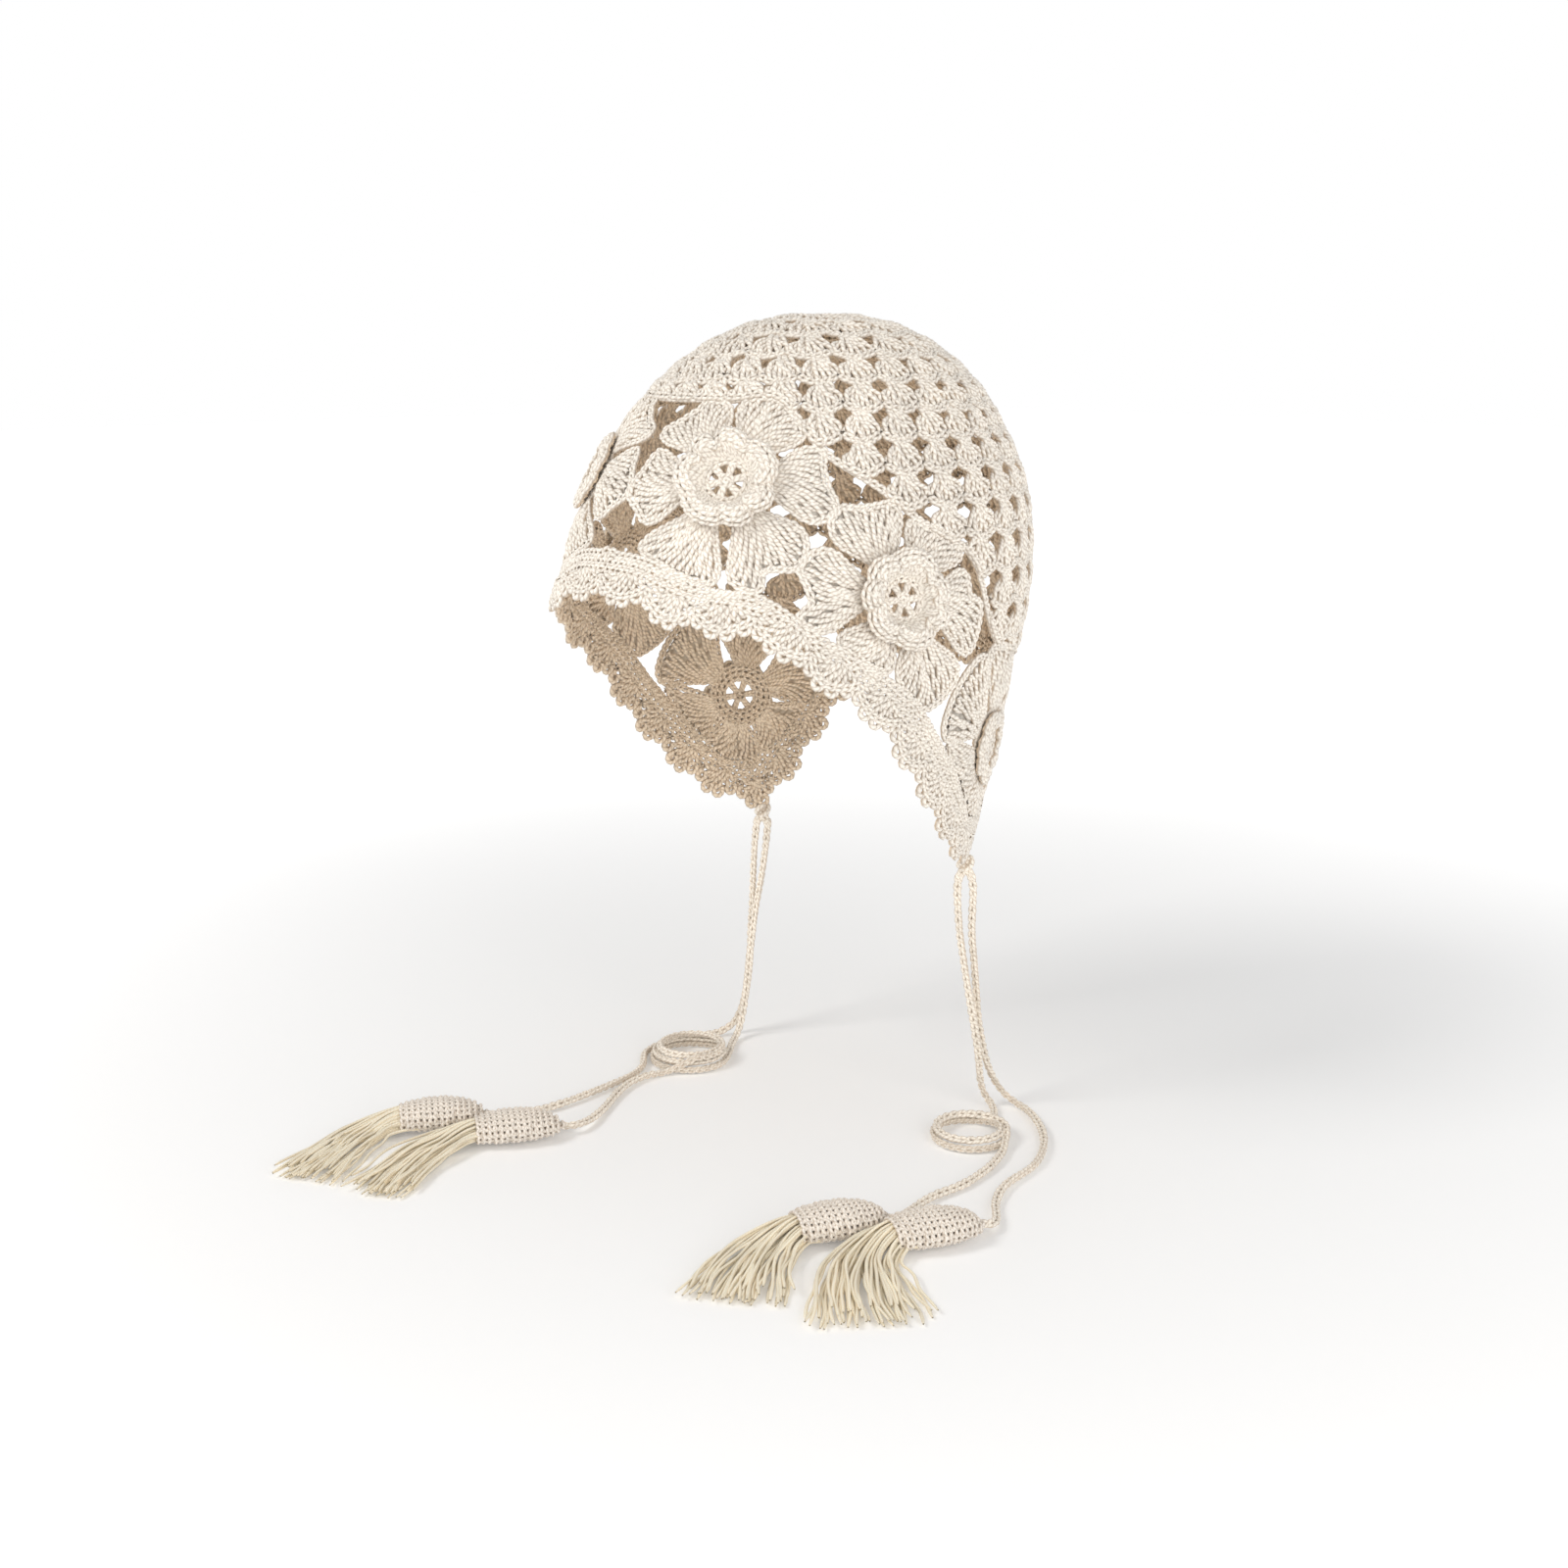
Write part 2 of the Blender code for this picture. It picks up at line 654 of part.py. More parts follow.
HANG_LEFT_INNER = [
    (59.3, 25.5, -218.65), (58.9, 25.2, -226), (59.7, 26.1, -243), (61.4, 27.6, -258),
    (63.2, 28.8, -270), (64.7, 30.9, -284), (64.9, 33.4, -298), (64.3, 35.7, -308),
    (65.2, 37.8, -315.5), (67.5, 39.0, LIE + 0.4), (72.5, 35.2, LIE), (77.5, 29.8, LIE),
    (81.6, 27.0, LIE),
]
HANG_LEFT_OUTER = [
    (62.8, 28.6, -218.0), (63.4, 29.8, -226), (63.1, 29.9, -243), (63.6, 31.4, -258),
    (63.4, 33.2, -270), (63.1, 35.2, -284), (64.1, 38.0, -298), (66.2, 41.2, -308),
    (69.6, 44.6, -315.5), (74.5, 47.0, LIE + 0.4), (81.0, 45.5, LIE), (90.0, 40.6, LIE),
]
TAIL_LEFT_INNER = [
    (101.6, 7.9, LIE), (106.0, -0.5, LIE), (110.0, -12.0, LIE), (112.8, -29.0, LIE),
    (112.0, -45.0, LIE), (115.0, -60.0, LIE + 0.6), (117.4, -69.8, LIE + 1.8), (115.8, -73.3, LIE + 2.4),
]
TAIL_LEFT_OUTER = [
    (90.3, 40.4, LIE), (102.0, 31.5, LIE), (111.4, 20.7, LIE), (119.6, 4.6, LIE),
    (123.6, -16.0, LIE), (131.0, -31.0, LIE), (141.0, -42.5, LIE + 0.8), (144.3, -48.8, LIE + 1.8),
    (142.8, -52.3, LIE + 2.4),
]
HANG_RIGHT_INNER = [
    (-59.4, 29.0, -218.65), (-60.6, 28.4, -232), (-61.5, 26.4, -246), (-62.8, 23.8, -262),
    (-64.3, 21.5, -285), (-65.2, 19.1, -304), (-64.9, 16.0, -315), (-62.7, 11.0, LIE + 0.3),
    (-59.4, 6.4, LIE), (-55.6, 2.0, LIE),
]
HANG_RIGHT_OUTER = [
    (-63.1, 25.6, -218.0), (-65.0, 25.6, -232), (-66.2, 25.7, -246), (-66.9, 25.4, -262),
    (-67.6, 24.6, -285), (-68.7, 22.3, -304), (-70.6, 18.6, -315), (-73.0, 12.0, LIE + 0.2),
    (-74.4, 5.0, LIE), (-75.9, -2.5, LIE), (-79.3, -11.3, LIE),
]
TAIL_RIGHT_INNER = [
    (-52.7, -37.4, LIE), (-55.0, -46.5, LIE), (-53.5, -57.0, LIE), (-48.0, -69.0, LIE),
    (-39.0, -83.0, LIE), (-32.0, -95.0, LIE + 0.8), (-29.4, -103.5, LIE + 1.8),
    (-31.1, -109.7, LIE + 2.4),
]
TAIL_RIGHT_OUTER = [
    (-79.45, -11.85, LIE), (-80.4, -16.7, LIE), (-80.2, -22.1, LIE), (-78.5, -27.4, LIE),
    (-75.6, -32.0, LIE), (-71.5, -35.8, LIE), (-65.5, -41.5, LIE), (-60.8, -50.0, LIE),
    (-58.2, -62.0, LIE), (-56.2, -76.0, LIE), (-54.8, -90.0, LIE), (-55.4, -103.0, LIE),
    (-57.4, -113.5, LIE + 0.8), (-59.9, -121.6, LIE + 1.8), (-61.6, -125.7, LIE + 2.4),
]


def metres(route):
    return [tuple(0.001 * value for value in point) for point in route]


knot("knot_left", KNOT_LEFT)
knot("knot_right", KNOT_RIGHT)
coil("coil_left", COIL_LEFT, COIL_LEFT_RADIUS, COIL_LEFT_TURNS)
coil("coil_right", COIL_RIGHT, COIL_RIGHT_RADIUS, COIL_RIGHT_TURNS)
cord("hang_left_inner", metres(HANG_LEFT_INNER))
cord("hang_left_outer", metres(HANG_LEFT_OUTER))
cord("hang_right_inner", metres(HANG_RIGHT_INNER))
cord("hang_right_outer", metres(HANG_RIGHT_OUTER))
cord("tail_left_inner", metres(TAIL_LEFT_INNER))
cord("tail_left_outer", metres(TAIL_LEFT_OUTER))
cord("tail_right_inner", metres(TAIL_RIGHT_INNER))
cord("tail_right_outer", metres(TAIL_RIGHT_OUTER))

# Columns: name, middle of the cap's top, middle of its mouth, fringe's spine, its spread.
TASSELS = [
    ("left_inner", (0.1155, -0.0740), (0.1016, -0.1050),
     [(0.1015, -0.1200), (0.1095, -0.1370), (0.1205, -0.1520)], 0.0100),
    ("left_outer", (0.1425, -0.0530), (0.1286, -0.0840),
     [(0.1305, -0.0990), (0.1430, -0.1135), (0.1630, -0.1290)], 0.0130),
    ("right_inner", (-0.0315, -0.1105), (-0.0485, -0.1400),
     [(-0.0515, -0.1540), (-0.0455, -0.1740), (-0.0330, -0.1970)], 0.0060),
    ("right_outer", (-0.0620, -0.1265), (-0.0797, -0.1555),
     [(-0.0835, -0.1685), (-0.0775, -0.1870), (-0.0650, -0.2100)], 0.0060),
]
for tassel, cap_top, cap_mouth, fringe_spine, fringe_spread in TASSELS:
    cap("cap_" + tassel, cap_top, cap_mouth)
    fringe("fringe_" + tassel, cap_top, cap_mouth, fringe_spine, fringe_spread)

for thing in bpy.data.objects:
    if thing.type == "MESH":
        close_up(thing)
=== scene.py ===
"""The crocheted ear-flap beanie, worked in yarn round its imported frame.

Every stitch is a tube of yarn laid on the same head-shaped surface as the frame's panels.  A
place on it is its turn from the front (degrees, positive towards the wearer's left) and its
reach (metres down the side from the top of the crown).
"""
import math

import bpy
import numpy as np
from mathutils import Matrix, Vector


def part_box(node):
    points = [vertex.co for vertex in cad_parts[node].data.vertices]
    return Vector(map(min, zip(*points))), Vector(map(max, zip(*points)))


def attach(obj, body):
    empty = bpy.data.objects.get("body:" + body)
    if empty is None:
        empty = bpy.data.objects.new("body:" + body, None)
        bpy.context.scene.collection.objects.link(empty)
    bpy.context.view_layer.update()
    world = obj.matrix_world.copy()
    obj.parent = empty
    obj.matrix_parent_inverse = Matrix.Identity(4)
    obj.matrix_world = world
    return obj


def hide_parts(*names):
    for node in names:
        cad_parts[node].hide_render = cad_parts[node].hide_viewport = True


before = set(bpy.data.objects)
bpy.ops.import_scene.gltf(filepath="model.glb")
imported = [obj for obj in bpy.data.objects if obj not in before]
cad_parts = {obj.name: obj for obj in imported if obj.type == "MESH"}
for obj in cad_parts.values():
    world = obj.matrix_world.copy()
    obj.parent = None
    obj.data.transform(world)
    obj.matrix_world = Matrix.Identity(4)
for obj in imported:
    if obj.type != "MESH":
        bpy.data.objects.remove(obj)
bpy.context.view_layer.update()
RNG = np.random.default_rng(7)

# Sizes in metres, as in the frame.
HALF_WIDTH = 0.0848
HALF_DEPTH = 0.1039
SIDE_REACH = 0.262
DROP = 0.2145
CROWN_TOP = 0.0015
FLOOR = -0.3217
CORD = 0.0038
YARN = 0.00080  # radius of one strand as it lies in a stitch
POST_YARN = 0.00094  # and in the looser tall stitches
GAP_SHADE_TINT = 0.52  # how dark the sheet behind the strands is: painted shade in the gaps between them
PETALS = 6
PETAL_REACH = 0.0355
PETAL_CORNER_REACH = 0.042
FACING = np.array([0.62, -0.75, 0.2])  # the way that cords and knots show their face

# Columns: reach share, drop share, width share, forward shift as a share of HALF_DEPTH.
PROFILE = [
    (0.0000, 0.0000, 0.000, 0.038), (0.0534, 0.0056, 0.162, 0.038),
    (0.1069, 0.0219, 0.319, 0.036), (0.1603, 0.0531, 0.466, 0.033),
    (0.2137, 0.0937, 0.590, 0.026), (0.2672, 0.1422, 0.697, 0.016),
    (0.3206, 0.1991, 0.784, 0.005), (0.3740, 0.2569, 0.857, -0.008),
    (0.4275, 0.3175, 0.911, -0.020), (0.4809, 0.3814, 0.948, -0.042),
    (0.5344, 0.4462, 0.974, -0.072), (0.5878, 0.5110, 0.991, -0.111),
    (0.6412, 0.5762, 0.998, -0.156), (0.6947, 0.6415, 1.000, -0.207),
    (0.7481, 0.7068, 0.999, -0.252), (0.8015, 0.7706, 0.994, -0.284),
    (0.8550, 0.8345, 0.985, -0.311), (0.9084, 0.8974, 0.971, -0.328),
    (0.9618, 0.9580, 0.951, -0.338), (1.0000, 1.0000, 0.930, -0.343),
]
# Columns: turn from the front in degrees, reach share.
RIM = [
    (0, 0.549), (11, 0.553), (26, 0.580), (42, 0.594), (50, 0.612), (57, 0.645), (67, 0.679),
    (80, 0.737), (90, 0.805), (102, 0.885), (112, 0.945), (121, 0.974), (130, 0.985),
    (136, 0.945), (142, 0.881), (148.6, 0.805), (154, 0.756), (162, 0.726), (172, 0.714),
    (180, 0.711),
]
BAND = [
    (0, 0.488), (15, 0.500), (30, 0.530), (45, 0.545), (55, 0.583), (67, 0.628), (80, 0.674),
    (90, 0.724), (100, 0.786), (110, 0.860), (118, 0.910), (125, 0.918), (132, 0.893),
    (138, 0.850), (143, 0.800), (147, 0.752), (151, 0.722), (156, 0.702), (165, 0.684),
    (180, 0.675),
]
ARCH = [
    (0, 0.267), (23, 0.267), (41, 0.270), (54, 0.344), (69, 0.401), (80, 0.452), (85, 0.468),
    (98, 0.525), (103, 0.582), (110, 0.632), (118, 0.650), (126, 0.660), (135, 0.672),
    (143, 0.687), (150, 0.720), (180, 0.720),
]
# Columns: name, turn in degrees, reach share, turn of the first petal in degrees.
FLOWERS = [
    (name + side, sign * turn, share, sign * first)
    for side, sign in (("_left", 1), ("_right", -1))
    for name, turn, share, first in (
        ("brow", 30.3, 0.388, 2.0), ("temple", 75.6, 0.553, -10.0), ("flap", 121.0, 0.797, 18.0))
]

# The camera, from the photograph's viewing angle.
CAMERA_TURN = math.radians(46.99)
CAMERA_RISE = math.radians(13.27)
CAMERA_AIM = np.array([-0.0407, 0.0212, -0.1977])
CAMERA_DISTANCE = 0.8392
CAMERA_LENS = 43.75


def put(data):
    """A linked object, named as its mesh, camera or light."""
    made = bpy.data.objects.new(data.name, data)
    bpy.context.scene.collection.objects.link(made)
    return made


def stand(data, place, back, right):
    """Puts a camera or a light at a place, looking the way opposite to back."""
    up = np.cross(back, right)
    rows = [(right[i], up[i], back[i], place[i]) for i in range(3)]
    made = put(data)
    made.matrix_world = Matrix(rows + [(0.0, 0.0, 0.0, 1.0)])
    return made


def add_camera():
    back = np.array([
        math.sin(CAMERA_TURN) * math.cos(CAMERA_RISE),
        -math.cos(CAMERA_TURN) * math.cos(CAMERA_RISE),
        math.sin(CAMERA_RISE),
    ])
    right = np.array([math.cos(CAMERA_TURN), math.sin(CAMERA_TURN), 0.0])
    data = bpy.data.cameras.new("camera")
    data.lens = CAMERA_LENS
    data.sensor_width = 36.0
    place = CAMERA_AIM + back * CAMERA_DISTANCE
    bpy.context.scene.camera = stand(data, place, back, right)


add_camera()


def feed(tree, made, inputs):
    """Sets a node's inputs; one that is given as another node's socket is linked to it."""
    for name, value in inputs.items():
        if isinstance(value, bpy.types.NodeSocket):
            tree.links.new(value, made.inputs[name])
        else:
            made.inputs[name].default_value = value


def node(tree, kind, inputs=None, **settings):
    """A new shader node's outputs."""
    made = tree.nodes.new("ShaderNode" + kind)
    for name, value in settings.items():
        setattr(made, name, value)
    feed(tree, made, inputs or {})
    return made.outputs


PLIES = 2
FIBRE_SCALE = 2600.0
PATCH_SCALE = 55.0  # of the slow changes of shade
PATCH_SHADE = 0.16
FIBRE_RELIEF = 0.35  # of the fibres, where a ply's relief is 1
RELIEF = 0.00022


def yarn_material(name, light, groove_shade, inner, pitch, gloss):
    """Twisted cotton: painted shade in the ply grooves and on the flanks, soft fibre noise, painted
    shade inside.
    """
    made = bpy.data.materials.new(name)
    made.use_nodes = True
    tree = made.node_tree

    def attribute(label, output):
        return node(tree, "Attribute", attribute_name=label)[output]

    def calculate(operation, *values):
        return node(tree, "Math", dict(enumerate(values)), operation=operation)[0]

    def mapped(value, low, high, start):
        return node(tree, "MapRange", {"Value": value, "From Min": low, "From Max": high,
                                       "To Min": start})["Result"]

    def noise(scale, detail):
        return node(tree, "TexNoise", {"Vector": place, "Scale": scale, "Detail": detail})["Fac"]

    place = node(tree, "TexCoord")["Object"]
    twist = node(tree, "SeparateXYZ", {0: attribute("twist", "Vector")})
    wound = calculate("MULTIPLY", calculate("ARCTAN2", twist["Y"], twist["X"]), float(PLIES))
    along = calculate("MULTIPLY_ADD", twist["Z"], 2.0 * math.pi * PLIES / pitch, wound)
    # Painted shade: the grooves between the plies are coloured darker, where shade would fall.
    ply = mapped(calculate("COSINE", along), -1.0, 0.1, 0.5)
    # Painted shade: each strand is coloured darker on its flanks than on its top and underside.
    flank_shade = mapped(calculate("ABSOLUTE", twist["X"]), 0.05, 0.75, 0.35)
    base = node(tree, "Mix", {"Factor": calculate("MULTIPLY", ply, flank_shade),
                              "A": (*groove_shade, 1.0), "B": (*light, 1.0)}, data_type="RGBA")
    shade = calculate("MULTIPLY_ADD", noise(PATCH_SCALE, 1.0), PATCH_SHADE,
                      attribute("tint", "Fac"))
    shaded = node(tree, "HueSaturation", {"Value": shade, "Color": base["Result"]})["Color"]
    # Painted shade: the side of the yarn that faces into the hat is multiplied by the inner colour.
    facing = node(tree, "VectorMath", {0: attribute("outward", "Vector"),
                                       1: node(tree, "NewGeometry")["Normal"]},
                  operation="DOT_PRODUCT")["Value"]
    painted_inner_shade = node(tree, "Mix", {"Factor": mapped(facing, 0.15, -0.5, 0.0), "A": shaded,
                               "B": (*inner, 1.0)}, data_type="RGBA", blend_type="MULTIPLY")
    height = calculate("MULTIPLY_ADD", noise(FIBRE_SCALE, 2.0), FIBRE_RELIEF, ply)
    bump = node(tree, "Bump", {"Strength": 0.55, "Distance": RELIEF, "Height": height})
    feed(tree, tree.nodes["Principled BSDF"], {
        "Base Color": painted_inner_shade["Result"], "Normal": bump["Normal"], "Roughness": 1.0 - gloss,
        "Specular IOR Level": 0.25, "Sheen Weight": 0.25, "Sheen Roughness": 0.5,
    })
    return made


# Name, colour of a strand's crest, the painted shade of its grooves and of its inner side, pitch of
# the twist, gloss.
COTTON = yarn_material(
    "cotton_yarn", (0.94, 0.885, 0.80), (0.42, 0.33, 0.25), (0.97, 0.86, 0.73), 0.0040, 0.15)
CORD_COTTON = yarn_material(
    "cord_yarn", (1.0, 0.93, 0.82), (0.54, 0.42, 0.31), (1.0, 1.0, 1.0), 0.0036, 0.15)
FRINGE_COTTON = yarn_material(
    "fringe_yarn", (1.0, 0.935, 0.76), (0.88, 0.74, 0.54), (1.0, 1.0, 1.0), 0.0026, 0.32)
CAP_COTTON = yarn_material(
    "cap_yarn", (1.0, 0.93, 0.84), (0.58, 0.47, 0.37), (1.0, 1.0, 1.0), 0.0030, 0.10)


def unit(vectors):
    return vectors / (np.linalg.norm(vectors, axis=-1, keepdims=True) + 1e-12)


def flattened(vectors, normals):
    """Unit vectors without their part along the normals."""
    return unit(vectors - normals * np.sum(vectors * normals, axis=-1, keepdims=True))


TINTS = (0.86, 0.97)  # from the darkest strand to the lightest
SHADE_SHEET_STEP = 0.001  # how far the twist of a painted-shade sheet runs on from one column to the next


class Yarn:
    """Collects tubes of yarn and turns them into one mesh."""

    def __init__(self):
        self.grids = []
        self.count = 0

    def collect(self, points, quads, twist, outs, tint):
        """Takes in a grid of points, and faces whose corners are counted over all grids."""
        tint = np.broadcast_to(tint, points.shape[:-1]).reshape(-1, 1)
        vectors = (grid.reshape(-1, 3) for grid in (points, twist, outs))
        self.grids.append((quads.reshape(-1, 4), tint, *vectors))
        self.count += len(tint)

    def add(self, paths, normals, radius, sides=5):
        """Tubes along paths of shape (tubes, steps, 3); normals lean away from the fabric."""
        paths = np.asarray(paths, float)
        normals = np.asarray(normals, float)
        tubes, steps, _ = paths.shape
        if tubes == 0:
            return
        gone = np.zeros((tubes, steps))
        gone[:, 1:] = np.cumsum(np.linalg.norm(np.diff(paths, axis=1), axis=2), axis=1)
        run = unit(np.gradient(paths, axis=1))
        across = unit(np.cross(run, normals))
        lean = np.cross(across, run)
        radius = np.broadcast_to(radius, (tubes, steps))[..., None, None]
        around = 2 * math.pi * np.arange(sides) / sides
        cos = np.cos(around)[None, None, :, None]
        sin = np.sin(around)[None, None, :, None]
        ring = paths[:, :, None] + radius * (cos * lean[:, :, None] + sin * across[:, :, None])
        start = RNG.uniform(0, 0.02, (tubes, 1))
        twist = np.empty((tubes, steps, sides, 3))
        twist[..., 0] = np.cos(around)
        twist[..., 1] = np.sin(around)
        twist[..., 2] = (gone + start)[..., None]
        tint = RNG.uniform(*TINTS, (tubes, 1, 1))
        outs = np.broadcast_to(normals[:, :, None], ring.shape)
        grid = self.count + np.arange(tubes * steps * sides).reshape(tubes, steps, sides)
        turned = np.roll(grid, -1, axis=2)
        quads = np.stack([grid[:, 1:], turned[:, 1:], turned[:, :-1], grid[:, :-1]], axis=-1)
        self.collect(ring, quads, twist, outs, tint)

    def sheet(self, points, normals, tint):
        """A thin dark sheet, painted shade that fills the gaps between strands; shape (rows,
        columns, 3).
        """
        rows, columns, _ = points.shape
        twist = np.zeros((rows, columns, 3))
        twist[..., 0] = 1.0
        twist[..., 2] = np.arange(columns)[None] * SHADE_SHEET_STEP
        grid = self.count + np.arange(rows * columns).reshape(rows, columns)
        quads = np.stack([grid[:-1, :-1], grid[:-1, 1:], grid[1:, 1:], grid[1:, :-1]], axis=-1)
        self.collect(points, quads, twist, normals, tint)

    def make(self, name, look, slot):
        faces, tints, points, twists, outs = map(np.concatenate, zip(*self.grids))
        mesh = bpy.data.meshes.new(name)
        mesh.vertices.add(len(points))
        mesh.vertices.foreach_set("co", points.astype(np.float32).ravel())
        mesh.loops.add(faces.size)
        mesh.loops.foreach_set("vertex_index", faces.astype(np.int32).ravel())
        mesh.polygons.add(len(faces))
        mesh.polygons.foreach_set("loop_start", np.arange(0, faces.size, 4, dtype=np.int32))
        mesh.polygons.foreach_set("use_smooth", np.ones(len(faces), bool))
        for label, kind, field, data in (
            ("twist", "FLOAT_VECTOR", "vector", twists),
            ("outward", "FLOAT_VECTOR", "vector", outs),
            ("tint", "FLOAT", "value", tints),
        ):
            layer = mesh.attributes.new(label, kind, "POINT")
            layer.data.foreach_set(field, data.astype(np.float32).ravel())
        mesh.update(calc_edges=True)
        mesh.materials.append(look)
        made = put(mesh)
        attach(made, "root")
        return made


def arc_lengths(points):
    steps = np.linalg.norm(np.diff(points, axis=0), axis=1)
    return np.concatenate([[0.0], np.cumsum(steps)])


def read_path(values, gone, marks):
    return np.stack([np.interp(marks, gone, values[:, k]) for k in range(3)], axis=-1)


# A leg of a chain stitch.  Columns: share of the pitch, share of the width, share of the lift.
CHAIN_LEG = np.array([
    (-0.30, 0.08, -0.8), (0.02, 0.50, 0.1), (0.34, 0.92, 0.8), (0.66, 1.00, 0.7),
    (0.94, 0.66, 0.0), (1.14, 0.14, -0.8),
])
# The strand on a chain's back.  Columns: share of the pitch, share of the lift.
CHAIN_BACK = np.stack([np.linspace(-0.2, 0.9, 4), [-0.9, -2.4, -2.4, -0.9]], axis=1)


def chain(yarn, points, normals, pitch=0.0031, width=0.00115, lift=0.00045, radius=YARN,
          closed=False, sides=5, backed=False):
    """A run of chain stitches along a path: each is a V of two legs that nests in the last."""
    points = np.asarray(points, float)
    normals = np.asarray(normals, float)
    gone = arc_lengths(points)
    total = gone[-1]
    count = max(2, round(total / pitch))
    pitch = total / count
    starts = np.arange(count)[:, None] * pitch

    def read(shares):
        marks = starts + shares[None] * pitch
        marks = np.mod(marks, total) if closed else np.clip(marks, 0.0, total)
        out = unit(read_path(normals, gone, marks))
        run = unit(read_path(np.gradient(points, axis=0), gone, marks))
        return read_path(points, gone, marks), out, unit(np.cross(out, run))

    centre, out, side = read(CHAIN_LEG[:, 0])
    swell = RNG.uniform(0.9, 1.1, (count, 1, 1))
    rise = lift * CHAIN_LEG[None, :, 2, None]
    for sign in (-1, 1):
        offset = sign * width * CHAIN_LEG[None, :, 1, None] * swell
        yarn.add(centre + side * offset + out * rise, out, radius, sides)
    if backed:
        centre, out, _ = read(CHAIN_BACK[:, 0])
        dip = lift * CHAIN_BACK[None, :, 1, None]
        yarn.add(centre + out * dip, out, radius, sides)


# The head's surface.
def smooth_table(rows, column):
    """Reads a column of a table against its first one, with smooth slopes between the rows."""
    xs = np.array([row[0] for row in rows], float)
    ys = np.array([row[column] for row in rows], float)
    slopes = np.gradient(ys, xs)

    def read(x):
        x = np.clip(x, xs[0], xs[-1])
        i = np.clip(np.searchsorted(xs, x) - 1, 0, len(xs) - 2)
        span = xs[i + 1] - xs[i]
        t = (x - xs[i]) / span
        return (
            (2 * t**3 - 3 * t**2 + 1) * ys[i]
            + (t**3 - 2 * t**2 + t) * span * slopes[i]
            + (3 * t**2 - 2 * t**3) * ys[i + 1]
            + (t**3 - t**2) * span * slopes[i + 1]
        )

    return read


drop_share, width_share, shift_share = (smooth_table(PROFILE, k) for k in (1, 2, 3))
SEAM = 0.0006  # from the crown's lower edge to the band
NEAR_TOP = 0.0025  # the top has no turn of its own, so normals are read from here on
STEP_DOWN = 0.0008


def swing_of(turn):
    """The same turn between -180 and 180 degrees."""
    return (turn + 180.0) % 360.0 - 180.0


def border(rows):
    """Gives the reach of a border, alike on both sides, at any turn."""
    share = smooth_table(rows, 1)
    return lambda turn: SIDE_REACH * share(np.abs(swing_of(turn)))


rim_reach, band_reach, arch_reach = border(RIM), border(BAND), border(ARCH)


def crown_reach(turn):
    return np.minimum(arch_reach(turn), band_reach(turn) - SEAM)


def on_fabric(turn, reach):
    share = np.asarray(reach, float) / SIDE_REACH
    angle = np.radians(turn)
    width = width_share(share)
    x = HALF_WIDTH * width * np.sin(angle)
    y = HALF_DEPTH * (shift_share(share) - width * np.cos(angle))
    z = CROWN_TOP - DROP * drop_share(share)
    return np.stack(np.broadcast_arrays(x, y, z), axis=-1)


def one_degree(turn, reach):
    """The step on the fabric that one degree of turn makes."""
    return on_fabric(turn + 0.5, reach) - on_fabric(turn - 0.5, reach)


def outward(turn, reach):
    reach = np.maximum(reach, NEAR_TOP)
    along = on_fabric(turn, reach + STEP_DOWN) - on_fabric(turn, reach - STEP_DOWN)
    return unit(np.cross(along, one_degree(turn, reach)))


def level_radius(turn, reach):
    return np.linalg.norm(one_degree(turn, reach), axis=-1) / math.radians(1.0)


REACH_STEPS = np.linspace(0.0, SIDE_REACH, 400)
HEIGHT_STEPS = CROWN_TOP - DROP * drop_share(REACH_STEPS / SIDE_REACH)


def place_of(points):
    """Turn and reach of the places on the fabric nearest to points beside it."""
    reach = np.interp(-points[..., 2], -HEIGHT_STEPS, REACH_STEPS)
    forward = -(points[..., 1] - HALF_DEPTH * shift_share(reach / SIDE_REACH)) / HALF_DEPTH
    return np.degrees(np.arctan2(points[..., 0] / HALF_WIDTH, forward)), reach


PATCH_ROWS = 34


class Patch:
    """A grid of places got by walking over the fabric from a row of starts."""

    def __init__(self, turn, reach, run, stride, per):
        """run: each walk's first direction in the fabric; per: columns per unit of along."""
        self.stride = stride
        self.per = per
        point = on_fabric(turn, reach)
        rows = [(point, outward(turn, reach), turn, reach)]
        for _ in range(PATCH_ROWS):
            turn, reach = place_of(point + run * stride)
            landed = on_fabric(turn, reach)
            normal = outward(turn, reach)
            run = flattened(landed - point, normal)
            point = landed
            rows.append((point, normal, turn, reach))
        self.points, self.normals, self.turns, self.reaches = map(np.array, zip(*rows))

    def at(self, along, distance, height):
        """World points and normals; along counts round the row of starts."""
        along, distance, height = np.broadcast_arrays(along, distance, height)
        rows, columns, _ = self.points.shape
        column = np.mod(along * self.per, columns)
        c0 = np.floor(column).astype(int) % columns
        c1 = (c0 + 1) % columns
        cf = (column - np.floor(column))[..., None]
        row = np.clip(distance / self.stride, 0, rows - 1.001)
        r0 = np.floor(row).astype(int)
        rf = (row - r0)[..., None]

        def read(grid):
            low = grid[r0, c0] * (1 - cf) + grid[r0, c1] * cf
            high = grid[r0 + 1, c0] * (1 - cf) + grid[r0 + 1, c1] * cf
            return low * (1 - rf) + high * rf

        normal = unit(read(self.normals))
        return read(self.points) + normal * height[..., None], normal


ROPE_FLATNESS = 0.75  # height of a pair of strands as a share of its width


